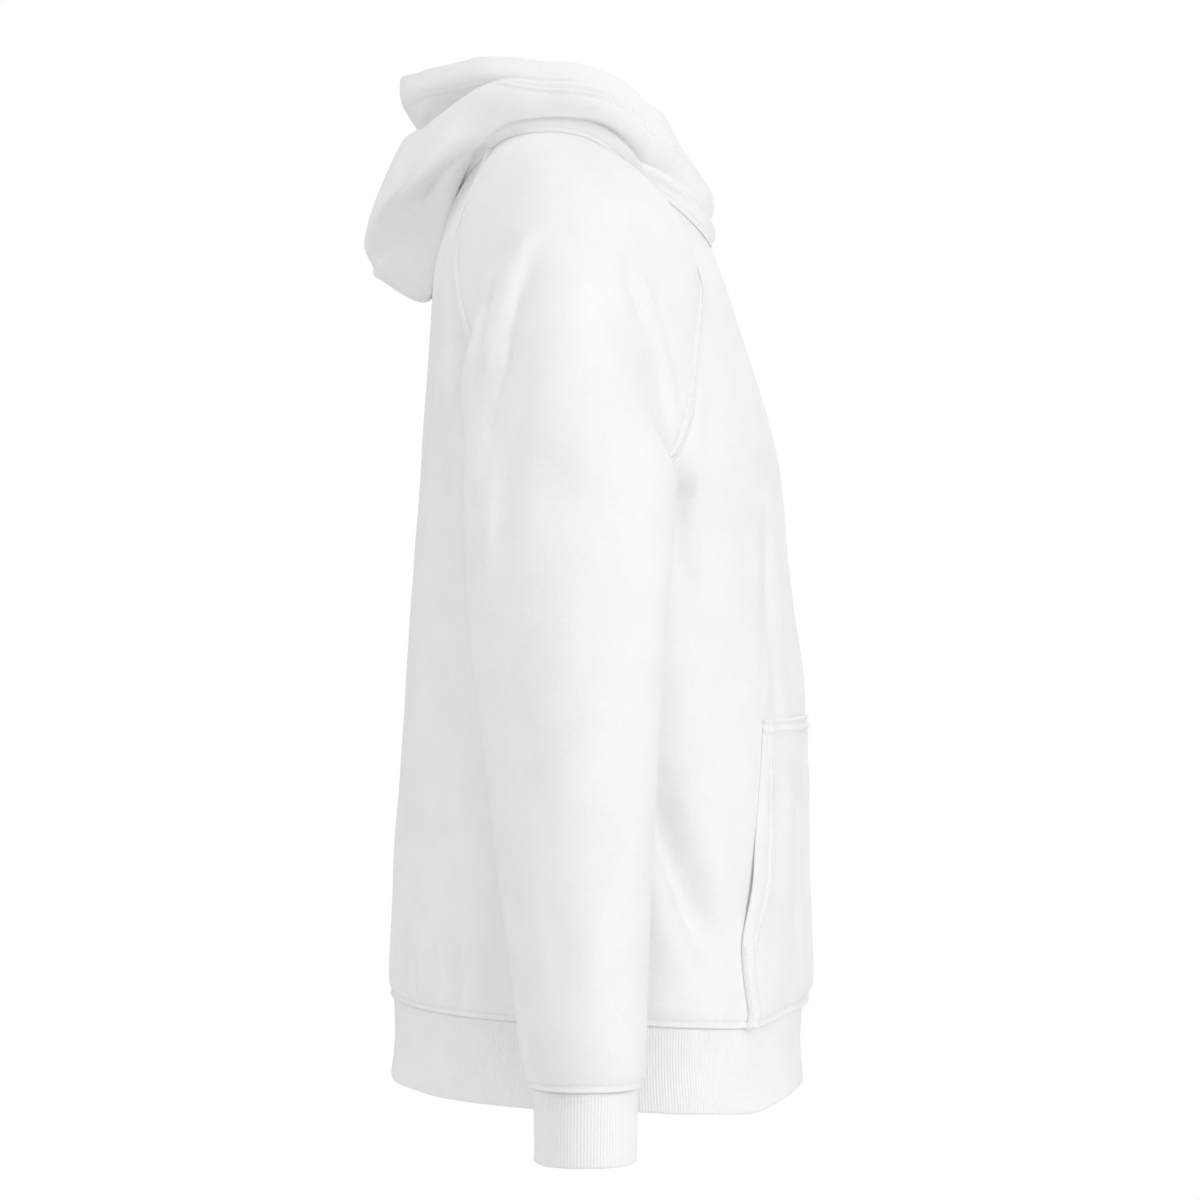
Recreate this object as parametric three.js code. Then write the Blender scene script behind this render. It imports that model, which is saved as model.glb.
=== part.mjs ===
// A worn-shape pullover hoodie with raglan sleeves, a crossed hood folded down and a front pocket.
// Millimetres, +Z up. The front faces -Y and the wearer's right is -X. The origin is the middle of the
// neck at shoulder height, where the wearer carries the garment.
// "out" is the distance from the middle plane, "fore" is Y and "up" is Z.
import * as THREE from 'three';

// Driving dimensions
const CLOTH = 2; // wall of brushed fleece
const RIB_WALL = 2.2; // wall of rib knit, under its ribs
const RIB_HEIGHT = 0.7; // how far a rib stands above its furrow
const SEAM_GAP = 0.3; // between two pieces at a seam
const SEAM_BEVEL = 0.45; // how much further the inner edge of a wall stays back from a seam
const HEM_SEAM_UP = -642;
const HEM_UP = -703;
const CUFF_SEAM_UP = -673;
const CUFF_UP = -724;
const ARM_MIDDLE_FORE = -38; // side seam and underarm
const BACK_ROUNDNESS = 1.95; // exponent of the rounded ellipse that a course of the back follows
const NECK_AXIS_FORE = -20; // the hood's sections fan out from this axis
const ON_MIDDLE = 0.01; // a point this near the middle plane lies on it

// Counts
const HALF_PANEL_COLUMNS = 10; // from the centre line to a seam
const SLEEVE_COLUMNS = 18; // around the arm, even
const RAGLAN_COURSES = 10; // along each raglan seam
const HOOD_STEPS = 16; // along the hood from neckline to rim
const HEM_RIBS = 288;
const CUFF_RIBS = 80;
const INNER_SHARE = 8; // outer points of a rib knit tube for each inner one

// Body rings below the underarm: centre front, centre back, half width, where the side seam lies, and
// how square the front is (2 is an ellipse).
const BODY = [
  { up: -642, front: -190.5, back: 118.5, half: 210, side: -52, square: 2.45 },
  { up: -630, front: -194, back: 122, half: 215.5, side: -51, square: 2.35 },
  { up: -590, front: -194.5, back: 120, half: 217, side: -48, square: 2.2 },
  { up: -534, front: -193.5, back: 117, half: 217, side: -45, square: 2.15 },
  { up: -473, front: -192.5, back: 113, half: 216, side: -42, square: 2.15 },
  { up: -412, front: -191.5, back: 109, half: 214.5, side: -40, square: 2.15 },
  { up: -367, front: -186, back: 106, half: 213, side: -39, square: 2.2 },
  { up: -321, front: -180.5, back: 103, half: 212, side: -38, square: 2.25 },
  { up: -272, front: -177, back: 100, half: 211, side: -38, square: 2.3 },
];
// Heights of the cloth courses below the underarm, closer where the hem seam draws the cloth in.
const BODY_COURSES = [-641.85, -636, -626, -606, -575, -535, -490, -445, -400, -355, -312];

// Courses above the underarm, by how far they have risen along the raglan seams (0 underarm, 1 neck).
const RAGLAN = [
  { rise: 0.0, frontFore: -177, frontUp: -274, backFore: 100, backUp: -272, square: 2.3 },
  { rise: 0.2, frontFore: -172, frontUp: -236, backFore: 97, backUp: -232, square: 2.3 },
  { rise: 0.4, frontFore: -162, frontUp: -196, backFore: 94, backUp: -188, square: 2.25 },
  { rise: 0.6, frontFore: -149, frontUp: -156, backFore: 91, backUp: -142, square: 2.2 },
  { rise: 0.8, frontFore: -136, frontUp: -115, backFore: 86.5, backUp: -94, square: 2.1 },
  { rise: 1.0, frontFore: -121.5, frontUp: -76, backFore: 78, backUp: -46, square: 2 },
];
const FRONT_SEAM = [
  { rise: 0.0, out: 211, fore: -38, up: -272 },
  { rise: 0.1, out: 210.5, fore: -68, up: -260 },
  { rise: 0.2, out: 207, fore: -90, up: -241 },
  { rise: 0.3, out: 200, fore: -99, up: -218 },
  { rise: 0.4, out: 192, fore: -103, up: -196 },
  { rise: 0.5, out: 183.5, fore: -105.5, up: -172 },
  { rise: 0.6, out: 172.5, fore: -108, up: -146 },
  { rise: 0.7, out: 158, fore: -109, up: -119 },
  { rise: 0.8, out: 137, fore: -100, up: -94 },
  { rise: 0.9, out: 105, fore: -82, up: -65 },
  { rise: 1.0, out: 66, fore: -65, up: -36 },
];
const BACK_SEAM = [
  { rise: 0.0, out: 211, fore: -38, up: -272 },
  { rise: 0.1, out: 210.5, fore: -9, up: -258 },
  { rise: 0.2, out: 207, fore: 17, up: -237 },
  { rise: 0.3, out: 201, fore: 34, up: -211 },
  { rise: 0.4, out: 193, fore: 46, up: -184 },
  { rise: 0.5, out: 182, fore: 54, up: -157 },
  { rise: 0.6, out: 170, fore: 60.5, up: -133 },
  { rise: 0.7, out: 153, fore: 64.3, up: -104 },
  { rise: 0.8, out: 134, fore: 62.5, up: -77 },
  { rise: 0.9, out: 109, fore: 53.5, up: -46 },
  { rise: 1.0, out: 74, fore: 43, up: -12 },
];
// The line over the shoulder and down the outer arm, beside the same courses.
const OVERARM = [
  { rise: 0.0, out: 312, fore: -17, up: -262 },
  { rise: 0.1, out: 304, fore: -16, up: -218 },
  { rise: 0.2, out: 291, fore: -14, up: -175 },
  { rise: 0.3, out: 274, fore: -12, up: -136 },
  { rise: 0.4, out: 252, fore: -10, up: -101 },
  { rise: 0.5, out: 226, fore: -7, up: -71 },
  { rise: 0.6, out: 198, fore: -5, up: -47 },
  { rise: 0.7, out: 170, fore: -3, up: -29 },
  { rise: 0.8, out: 142, fore: -1, up: -15 },
  { rise: 0.9, out: 115, fore: 0, up: -6 },
  { rise: 1.0, out: 88, fore: 0, up: 0 },
];
// Sleeve rings below the underarm.
const SLEEVE = [
  { up: -272, inner: 211, outer: 312, front: -89, back: 56 },
  { up: -317, inner: 217, outer: 321, front: -87, back: 55 },
  { up: -371, inner: 224, outer: 327, front: -84, back: 52 },
  { up: -425, inner: 231, outer: 331, front: -79.5, back: 45 },
  { up: -480, inner: 238, outer: 333, front: -76, back: 38 },
  { up: -534, inner: 244, outer: 334, front: -73, back: 31 },
  { up: -588, inner: 250, outer: 334.5, front: -71, back: 24 },
  { up: -643, inner: 256, outer: 334.5, front: -69.5, back: 16.5 },
  { up: -664, inner: 258, outer: 333.5, front: -69, back: 12.5 },
  { up: -673, inner: 261.5, outer: 330, front: -64.5, back: 8 },
];
const SLEEVE_COURSES = [-300, -340, -385, -430, -475, -525, -575, -620, -650, -665, -672.85];
// Rises between which the sleeve stops turning under the arm and lies on from the panel beside it.
const FRONT_TUCK = [0, 0.3];
const BACK_TUCK = [0.2, 0.6]; // higher than in front, because the cloth folds over its seam there
const ARC_HANDLE = 0.55; // handle of a cubic that draws a quarter turn
const HALF_TURN_HANDLE = 4 / 3; // and of one that draws a half turn

// Hood sections, by their turn from centre front to centre back in degrees. Each pair is how far out
// and up from the neckline a named line of the folded cloth lies: band beside the neck, crest of the
// inner fold, bottom of the sack, its outer lip, valley under the roll, roll, ridge on top of the
// roll, dip behind it, foot of the rim casing, and rim.
const HOOD = [
  { turn: 0, band: [2.5, 7], crest: [2, 13], bottom: [-2, 18], lip: [-1, 22], valley: [0, 25],
    roll: [1.5, 31], ridge: [0, 37], dip: [-2, 40], casing: [-4.5, 43], rim: [-13, 52] },
  { turn: 25, band: [3.5, 7], crest: [5, 12], bottom: [3, 16], lip: [4, 20], valley: [5.5, 23],
    roll: [6.5, 30], ridge: [4.5, 37], dip: [2, 40], casing: [-1, 42], rim: [-9, 51] },
  { turn: 50, band: [4, 6], crest: [7.5, 12], bottom: [6, 16], lip: [9.5, 18], valley: [14, 23],
    roll: [17.5, 32], ridge: [16.5, 40], dip: [15, 43], casing: [14, 46], rim: [10.5, 60] },
  { turn: 75, band: [3, 6], crest: [5.5, 12.5], bottom: [5, 15.5], lip: [12, 14.5], valley: [16, 18],
    roll: [18, 27], ridge: [17.5, 37], dip: [15.5, 40], casing: [14.5, 42], rim: [11, 54] },
  { turn: 90, band: [1.5, 6], crest: [3, 11], bottom: [5, 12.5], lip: [9, 11.5], valley: [11.5, 14.5],
    roll: [14.5, 24], ridge: [15, 35], dip: [13.5, 38], casing: [13.5, 40], rim: [10.5, 52] },
  { turn: 103, band: [1, 5.5], crest: [2.2, 9.8], bottom: [4.2, 10.6], lip: [7, 9.8], valley: [9, 12.5],
    roll: [12.5, 22], ridge: [13.5, 33], dip: [12, 36], casing: [12.5, 38.5], rim: [9.5, 51] },
  { turn: 118, band: [1, 5], crest: [2.4, 8.6], bottom: [4.6, 9.4], lip: [7.8, 8.6], valley: [10.5, 11.5],
    roll: [18, 23], ridge: [19.5, 37], dip: [16, 40.5], casing: [17.5, 44.5], rim: [14.5, 57] },
  { turn: 130, band: [1.2, 3.5], crest: [3, 6], bottom: [5.5, 6.2], lip: [9, 5.2], valley: [13, 8],
    roll: [26, 20], ridge: [27.5, 37], dip: [20, 42], casing: [25.5, 51], rim: [23, 65] },
  { turn: 140, band: [1.2, 2], crest: [2.8, 2.5], bottom: [5.2, 1.8], lip: [11, 2.5], valley: [15.5, 5.5],
    roll: [38, 10], ridge: [35, 34], dip: [23, 42], casing: [31, 57], rim: [27, 73] },
  { turn: 150, band: [1.5, 1.2], crest: [3.2, 0], bottom: [6, -8], lip: [16, -3], valley: [21, 3.5],
    roll: [51.5, -9], ridge: [37, 34], dip: [23, 44], casing: [34, 64], rim: [29, 82] },
  { turn: 160, band: [2.5, 2], crest: [6, 0.5], bottom: [12.5, -41], lip: [23, -16], valley: [27, -6],
    roll: [58, -15], ridge: [37, 40], dip: [23, 49], casing: [34, 71], rim: [31, 89] },
  { turn: 171, band: [3.5, 2.5], crest: [7.5, 1], bottom: [14.2, -66], lip: [38, -37], valley: [42, -29],
    roll: [61, -19], ridge: [35.5, 45], dip: [24, 53], casing: [33.5, 76], rim: [34, 96] },
  { turn: 180, band: [3.5, 2.5], crest: [8, 1.5], bottom: [15, -69], lip: [52, -53.5], valley: [56, -45],
    roll: [61.5, -20], ridge: [34, 46], dip: [25, 55], casing: [33, 78], rim: [35, 98] },
];
const HOOD_LINES = ['band', 'crest', 'bottom', 'lip', 'valley', 'roll', 'ridge', 'dip', 'casing', 'rim'];
const CROSSOVER_LIFT = 1.3; // how far the upper front edge is raised, and the lower one sunk
const CROSSOVER_TURN = 14; // degrees either side of centre front over which the lift is full
const CROSSOVER_FADE = 44; // degrees at which the lift is gone
const CROSSOVER_COLUMNS = 1; // past centre front

// Pocket outline on the front panel, from its top edge to the hem seam.
const POCKET = [
  { up: -430, half: 149 },
  { up: -480, half: 156 },
  { up: -535, half: 166 },
  { up: -585, half: 177 },
  { up: -600, half: 178 },
  { up: -641.85, half: 178 },
];
const POCKET_COURSES = [-430, -455, -480, -508, -535, -560, -583, -605, -625, -636, -641.85];
const POCKET_COLUMNS = 14;
const POCKET_GAP = 0.75; // from the panel beneath, enough for the flats of both to pass
const POCKET_MOUTH_LIFT = 2.2; // extra room where a hand goes in

const HEM_DIP = { out: 178, wide: 30, deep: 6, from: -585, fade: 45, side: -58, turn: 40 };

// Folds and pulls, as a soft ridge (high above zero) or trough along a line on each side.
const BODY_FOLDS = [
  { name: 'side front pleat', from: [122, -160, -300], to: [122, -165, -428], wide: 13, high: -4.5 },
  { name: 'pocket corner pull', from: [192, -80, -480], to: [172, -118, -618], wide: 24, high: -8 },
  { name: 'front underarm pull', from: [203, -88, -262], to: [196, -100, -330], wide: 13, high: -5 },
  { name: 'back armhole hollow', from: [160, 66, -128], to: [196, 44, -262], wide: 22, high: -8 },
  { name: 'back hem gather, outer', from: [128, 88, -596], to: [130, 88, -636], wide: 8, high: 3.5 },
  { name: 'back hem gather, middle', from: [104, 98, -600], to: [106, 98, -636], wide: 7, high: 3 },
  { name: 'back hem gather, inner', from: [70, 108, -606], to: [68, 108, -636], wide: 8, high: 3 },
];
const SLEEVE_FOLDS = [
  { name: 'shoulder ridge', from: [250, 20, -92], to: [300, 40, -190], wide: 12, high: 8 },
  { name: 'trough behind the ridge', from: [240, 34, -96], to: [280, 50, -158], wide: 9, high: -7 },
  { name: 'trough before the ridge', from: [290, 14, -140], to: [318, 34, -300], wide: 14, high: -5 },
  { name: 'front armhole dent', from: [262, -58, -106], to: [276, -72, -158], wide: 12, high: -6 },
  { name: 'front armhole ridge', from: [250, -72, -112], to: [268, -84, -205], wide: 9, high: 4 },
  { name: 'long back crease', from: [322, 34, -330], to: [330, 14, -470], wide: 14, high: -1.5 },
];
const POCKET_FOLDS = [
  { name: 'inner fold', from: [62, -188, -470], to: [66, -190, -625], wide: 8, high: 3 },
  { name: 'outer fold', from: [96, -180, -505], to: [100, -182, -628], wide: 8, high: 2.5 },
];

// Helpers

const smooth = (share) => {
  const t = THREE.MathUtils.clamp(share, 0, 1);
  return t * t * (3 - 2 * t);
};
const mix = THREE.MathUtils.lerp;

// The value of a column at a place between a table's rows, on a cubic through them.
function between(table, by, column, place) {
  const last = table.length - 1;
  const rising = table[last][by] > table[0][by];
  let i = 0;
  while (i < last - 1 && (rising ? place > table[i + 1][by] : place < table[i + 1][by])) i += 1;
  const slope = (k) => {
    const before = table[Math.max(k - 1, 0)];
    const after = table[Math.min(k + 1, last)];
    return (after[column] - before[column]) / (after[by] - before[by]);
  };
  const span = table[i + 1][by] - table[i][by];
  const t = THREE.MathUtils.clamp((place - table[i][by]) / span, 0, 1);
  const start = table[i][column];
  const end = table[i + 1][column];
  return (2 * t ** 3 - 3 * t ** 2 + 1) * start + (t ** 3 - 2 * t ** 2 + t) * span * slope(i)
    + (3 * t ** 2 - 2 * t ** 3) * end + (t ** 3 - t ** 2) * span * slope(i + 1);
}

// A table row worked out at a place, with every column but the one it is looked up by.
function rowAt(table, by, place) {
  const columns = Object.keys(table[0]).filter((column) => column !== by);
  return Object.fromEntries(columns.map((column) => [column, between(table, by, column, place)]));
}

const step = (from, to, count) => Array.from({ length: count + 1 }, (_, i) => mix(from, to, i / count));
const mirrored = (point) => new THREE.Vector3(-point.x, point.y, point.z);
// Every second point moved onto the straight line between its neighbours, so a piece with half the
// points shares the edge exactly.
const halved = (points) => points.map((point, i) => (
  i % 2 ? new THREE.Vector3().lerpVectors(points[i - 1], points[i + 1], 0.5) : point
));

// Outward normals of a grid of points, turned so that they lead away from the axis point of each row.
// On the middle plane they stay in it, so that the walls of two mirrored halves meet there.
function normalsOf(rows, axisOf) {
  const wide = rows[0].length;
  const normals = rows.map((row, v) => row.map((point, u) => {
    const before = row[Math.max(u - 1, 0)];
    const after = row[Math.min(u + 1, wide - 1)];
    const below = rows[Math.max(v - 1, 0)][u];
    const above = rows[Math.min(v + 1, rows.length - 1)][u];
    const across = new THREE.Vector3().subVectors(after, before);
    const along = new THREE.Vector3().subVectors(above, below);
    across.cross(along);
    if (Math.abs(point.x) < ON_MIDDLE) across.x = 0;
    return across.normalize();
  }));
  let facing = 0;
  rows.forEach((row, v) => row.forEach((point, u) => {
    facing += normals[v][u].dot(new THREE.Vector3().subVectors(point, axisOf(row, point)));
  }));
  if (facing < 0) normals.flat().forEach((normal) => normal.negate());
  return normals;
}

const bodyAxis = (row, point) => new THREE.Vector3(0, ARM_MIDDLE_FORE, point.z);
const rowCentre = (row) => row.reduce((sum, p) => sum.add(p), new THREE.Vector3()).divideScalar(row.length);

// How high the folds stand at a point, with each side of the garment alike.
function foldHeight(folds, point) {
  const here = new THREE.Vector3(Math.abs(point.x), point.y, point.z);
  return folds.reduce((height, fold) => {
    const line = new THREE.Line3(new THREE.Vector3(...fold.from), new THREE.Vector3(...fold.to));
    const nearest = line.closestPointToPoint(here, true, new THREE.Vector3());
    return height + fold.high * Math.exp(-((here.distanceTo(nearest) / fold.wide) ** 2));
  }, 0);
}

// How far the hem seam hangs below its height, where the pocket's lower corner weighs it down.
function hemDip(point) {
  const near = Math.exp(-(((Math.abs(point.x) - HEM_DIP.out) / HEM_DIP.wide) ** 2));
  const before = smooth((HEM_DIP.side - point.y) / HEM_DIP.turn);
  return HEM_DIP.deep * near * before * smooth((HEM_DIP.from - point.z) / HEM_DIP.fade);
}

// Raises the folds on a grid of cloth. keep(u, v) is 0 at seams, where two pieces have to meet.
function folded(rows, axisOf, folds, keep) {
  const normals = normalsOf(rows, axisOf);
  return rows.map((row, v) => row.map((point, u) => {
    const height = foldHeight(folds, point) * keep(u, v);
    return point.clone().addScaledVector(normals[v][u], height);
  }));
}

// Holds an open edge of a wall back from its seam.
function heldBack(points, from, distance) {
  points.forEach((point, i) => {
    const away = new THREE.Vector3().subVectors(from[i], point);
    point.addScaledVector(away.normalize(), distance);
  });
}

function solid(positions, triangles) {
  let volume = 0;
  const corner = new THREE.Vector3();
  triangles.forEach(([a, b, c]) => {
    volume += corner.copy(positions[b]).cross(positions[c]).dot(positions[a]);
  });
  const faces = volume > 0 ? triangles : triangles.map(([a, b, c]) => [a, c, b]);
  const numbers = positions.flatMap((p) => [p.x, p.y, p.z]);
  const geometry = new THREE.BufferGeometry();
  geometry.setAttribute('position', new THREE.Float32BufferAttribute(numbers, 3));
  geometry.setIndex(faces.flat());
  geometry.computeVertexNormals();
  return geometry;
}

// A closed wall of cloth over a grid of outer points. The inner face lies a wall's thickness within.
function wall(rows, axisOf = bodyAxis) {
  const normals = normalsOf(rows, axisOf);
  const outer = rows.map((row) => row.map((point) => point.clone()));
  const inner = outer.map((row, v) => row.map((p, u) => p.clone().addScaledVector(normals[v][u], -CLOTH)));
  const last = rows.length - 1;
  const wide = rows[0].length;
  [[outer, SEAM_GAP / 2], [inner, SEAM_GAP / 2 + SEAM_BEVEL]].forEach(([grid, back]) => {
    const column = (u) => grid.map((row) => row[u]);
    heldBack(grid[0], rows[1], back);
    heldBack(grid[last], rows[last - 1], back);
    heldBack(column(0), rows.map((row) => row[1]), back);
    heldBack(column(wide - 1), rows.map((row) => row[wide - 2]), back);
  });
  const inside = rows.length * wide;
  const at = (v, u) => v * wide + u;
  const triangles = [];
  const quad = (a, b, c, d) => triangles.push([a, b, c], [a, c, d]);
  for (let v = 0; v < last; v += 1) {
    for (let u = 0; u < wide - 1; u += 1) {
      quad(at(v, u), at(v, u + 1), at(v + 1, u + 1), at(v + 1, u));
      quad(inside + at(v, u), inside + at(v + 1, u), inside + at(v + 1, u + 1), inside + at(v, u + 1));
    }
  }
  for (let u = 0; u < wide - 1; u += 1) {
    quad(at(0, u + 1), at(0, u), inside + at(0, u), inside + at(0, u + 1));
    quad(at(last, u), at(last, u + 1), inside + at(last, u + 1), inside + at(last, u));
  }
  for (let v = 0; v < last; v += 1) {
    quad(at(v, 0), at(v + 1, 0), inside + at(v + 1, 0), inside + at(v, 0));
    quad(at(v + 1, wide - 1), at(v, wide - 1), inside + at(v, wide - 1), inside + at(v + 1, wide - 1));
  }
  return solid([...outer.flat(), ...inner.flat()], triangles);
}

// Body panels

// Half a course of body cloth, an arc of a rounded ellipse from the centre line to a seam.
function halfCourse(centre, seam, middle, roundness, count) {
  const depth = centre.fore - middle;
  const share = Math.max((seam.fore - middle) / depth, 0);
  const half = seam.out / (1 - share ** roundness) ** (1 / roundness);
  const end = Math.atan2((seam.out / half) ** (roundness / 2), share ** (roundness / 2));
  return step(0, end, count).map((turn) => {
    const out = half * Math.sin(turn) ** (2 / roundness);
    const fore = middle + depth * Math.max(Math.cos(turn), 0) ** (2 / roundness);
    return new THREE.Vector3(-out, fore, mix(centre.up, seam.up, (out / seam.out) ** 2));
  });
}

function ringCourse(ring, face, count = HALF_PANEL_COLUMNS) {
  const middle = { fore: ring[face], up: ring.up };
  const seam = { out: ring.half, fore: ring.side, up: ring.up };
  const course = halfCourse(middle, seam, ring.side, face === 'front' ? ring.square : BACK_ROUNDNESS, count);
  course.forEach((point) => { point.z -= hemDip(point); });
  return course;
}

function bodyCourse(up, face, count = HALF_PANEL_COLUMNS) {
  return ringCourse({ up, ...rowAt(BODY, 'up', up) }, face, count);
}

function raglanCourse(rise, face, count = HALF_PANEL_COLUMNS) {
  const centre = rowAt(RAGLAN, 'rise', rise);
  const seam = rowAt(face === 'front' ? FRONT_SEAM : BACK_SEAM, 'rise', rise);
  const middle = { fore: centre[`${face}Fore`], up: centre[`${face}Up`] };
  const roundness = face === 'front' ? centre.square : BACK_ROUNDNESS;
  const course = halfCourse(middle, seam, ARM_MIDDLE_FORE, roundness, count);
  return rise === 1 ? halved(course) : course;
}

function panel(face) {
  const halves = [
    ...BODY_COURSES.map((up) => bodyCourse(up, face)),
    ...step(0, 1, RAGLAN_COURSES).map((rise) => raglanCourse(rise, face)),
  ];
  const rows = halves.map((half) => [...half.slice(1).reverse(), ...half.map(mirrored)]);
  const last = rows.length - 1;
  const fromSide = (u) => Math.min(u, rows[0].length - 1 - u);
  const keep = (u, v) => smooth(v / 2) * smooth((last - v) / 3) * smooth(fromSide(u) / 2);
  return wall(folded(rows, bodyAxis, BODY_FOLDS, keep));
}

// Sleeves

// Half of a sleeve section, from the seam or the inner arm to the overarm line. side is -1 to go round
// the front and 1 to go round the back, and open is 0 for a whole half turn and 1 for a quarter turn.
function halfSection(start, top, side, extent, open, leave) {
  const closedHandle = HALF_TURN_HANDLE * Math.abs(extent - (start.y + top.y) / 2);
  const bend = mix(Math.PI / 2, leave, open);
  const leaveLength = mix(closedHandle, ARC_HANDLE * Math.abs(top.x - start.x), open);
  const arriveLength = mix(closedHandle, ARC_HANDLE * Math.abs(top.y - start.y), open);
  const rise = ARC_HANDLE * (top.z - start.z) * open;
  const leaving = new THREE.Vector3(-Math.cos(bend), side * Math.sin(bend), 0).multiplyScalar(leaveLength);
  const first = start.clone().add(leaving).add(new THREE.Vector3(0, 0, rise));
  const second = top.clone().add(new THREE.Vector3(0, side * arriveLength, 0));
  return new THREE.CubicBezierCurve3(start, first, second, top).getPoints(SLEEVE_COLUMNS / 2);
}

// The angle at which a body course runs over its raglan seam, measured from straight outwards.
function leavingAngle(course, side) {
  const [before, end] = course.slice(-2);
  return Math.atan2(side * (end.y - before.y), before.x - end.x);
}

function capSection(rise) {
  const extents = SLEEVE[0];
  const top = rowAt(OVERARM, 'rise', rise);
  const topPoint = new THREE.Vector3(-top.out, top.fore, top.up);
  const [front, back] = [['front', -1, FRONT_TUCK], ['back', 1, BACK_TUCK]].map(([face, side, tuck]) => {
    const course = raglanCourse(rise, face);
    const open = smooth((rise - tuck[0]) / (tuck[1] - tuck[0]));
    const leave = leavingAngle(course, side);
    return halfSection(course[HALF_PANEL_COLUMNS], topPoint, side, extents[face], open, leave);
  });
  if (rise < 1) return { front, back };
  const whole = halved([...front, ...back.slice(0, -1).reverse()]);
  return { front: whole.slice(0, front.length), back: whole.slice(front.length - 1).reverse() };
}

function tubeSection(up) {
  const ring = rowAt(SLEEVE, 'up', up);
  const middle = (ring.front + ring.back) / 2;
  const settled = smooth((SLEEVE[0].up - up) / 80);
  const inner = new THREE.Vector3(-ring.inner, mix(ARM_MIDDLE_FORE, middle, settled), up);
  const outer = new THREE.Vector3(-ring.outer, middle, up);
  return {
    front: halfSection(inner, outer, -1, ring.front, 0, 0),
    back: halfSection(inner, outer, 1, ring.back, 0, 0),
  };
}

// A sleeve runs from the front raglan seam over the arm to the back one, and below the underarm the
// two edges meet, so the cloth is a tube from there down.
function sleeve() {
  const sections = [
    ...step(1, 0, RAGLAN_COURSES).map(capSection),
    ...SLEEVE_COURSES.map(tubeSection),
  ];
  const rows = sections.map(({ front, back }) => [...front, ...back.slice(0, -1).reverse()]);
  const last = rows.length - 1;
  const fromSide = (u) => Math.min(u, rows[0].length - 1 - u);
  const keep = (u, v) => smooth(v / 3) * smooth((last - v) / 2) * smooth(fromSide(u) / 2);
  return sleeveWall(folded(rows, rowCentre, SLEEVE_FOLDS, keep));
}

// The wall of a sleeve. Its two long edges are free along the raglan seams and joined below them.
function sleeveWall(rows) {
  const wide = rows[0].length - 1;
  const joined = RAGLAN_COURSES + 1; // the first row whose two edges are one
  const normals = normalsOf(rows, rowCentre);
  rows.forEach((row, v) => {
    if (v < joined) return;
    const shared = normals[v][0].clone().add(normals[v][wide]).normalize();
    normals[v][0].copy(shared);
    normals[v][wide].copy(shared);
  });
  const outer = rows.map((row) => row.map((point) => point.clone()));
  const inner = outer.map((row, v) => row.map((p, u) => p.clone().addScaledVector(normals[v][u], -CLOTH)));
  const last = rows.length - 1;
  [[outer, SEAM_GAP / 2], [inner, SEAM_GAP / 2 + SEAM_BEVEL]].forEach(([grid, back]) => {
    heldBack(grid[0], rows[1], back);
    heldBack(grid[last], rows[last - 1], back);
    const free = (list) => list.slice(0, joined);
    heldBack(free(grid).map((row) => row[0]), free(rows).map((row) => row[1]), back);
    heldBack(free(grid).map((row) => row[wide]), free(rows).map((row) => row[wide - 1]), back);
  });
  const positions = [];
  const numbers = new Map();
  const number = (layer, grid, v, u) => {
    const key = `${layer} ${v} ${v >= joined && u === wide ? 0 : u}`;
    if (!numbers.has(key)) {
      numbers.set(key, positions.length);
      positions.push(grid[v][u]);
    }
    return numbers.get(key);
  };
  const o = (v, u) => number('outer', outer, v, u);
  const i = (v, u) => number('inner', inner, v, u);
  const triangles = [];
  const quad = (a, b, c, d) => triangles.push([a, b, c], [a, c, d]);
  for (let v = 0; v < last; v += 1) {
    for (let u = 0; u < wide; u += 1) {
      quad(o(v, u), o(v, u + 1), o(v + 1, u + 1), o(v + 1, u));
      quad(i(v, u), i(v + 1, u), i(v + 1, u + 1), i(v, u + 1));
    }
  }
  for (let u = 0; u < wide; u += 1) {
    quad(o(0, u + 1), o(0, u), i(0, u), i(0, u + 1));
    quad(o(last, u), o(last, u + 1), i(last, u + 1), i(last, u));
  }
  for (let v = 0; v < joined - 1; v += 1) {
    quad(o(v, 0), o(v + 1, 0), i(v + 1, 0), i(v, 0));
    quad(o(v + 1, wide), o(v, wide), i(v, wide), i(v + 1, wide));
  }
  // The slit between the last free row and the first joined one closes at the underarm.
  const fork = joined - 1;
  triangles.push([o(fork, 0), o(joined, 0), i(joined, 0)], [o(fork, 0), i(joined, 0), i(fork, 0)]);
  triangles.push([o(joined, 0), o(fork, wide), i(fork, wide)], [o(joined, 0), i(fork, wide), i(joined, 0)]);
  return solid(positions, triangles);
}

// Hood

// Neckline points of the right side from centre front to centre back, taken from the pieces' top edges.
function neckline() {
  const { front, back } = capSection(1);
  const every = (points) => points.filter((_, i) => i % 2 === 0);
  const sleeveTop = [...front, ...back.slice(0, -1).reverse()];
  return [
    ...every(raglanCourse(1, 'front')),
    ...every(sleeveTop).slice(1),
    ...every(raglanCourse(1, 'back').reverse()).slice(1),
  ];
}

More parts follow.
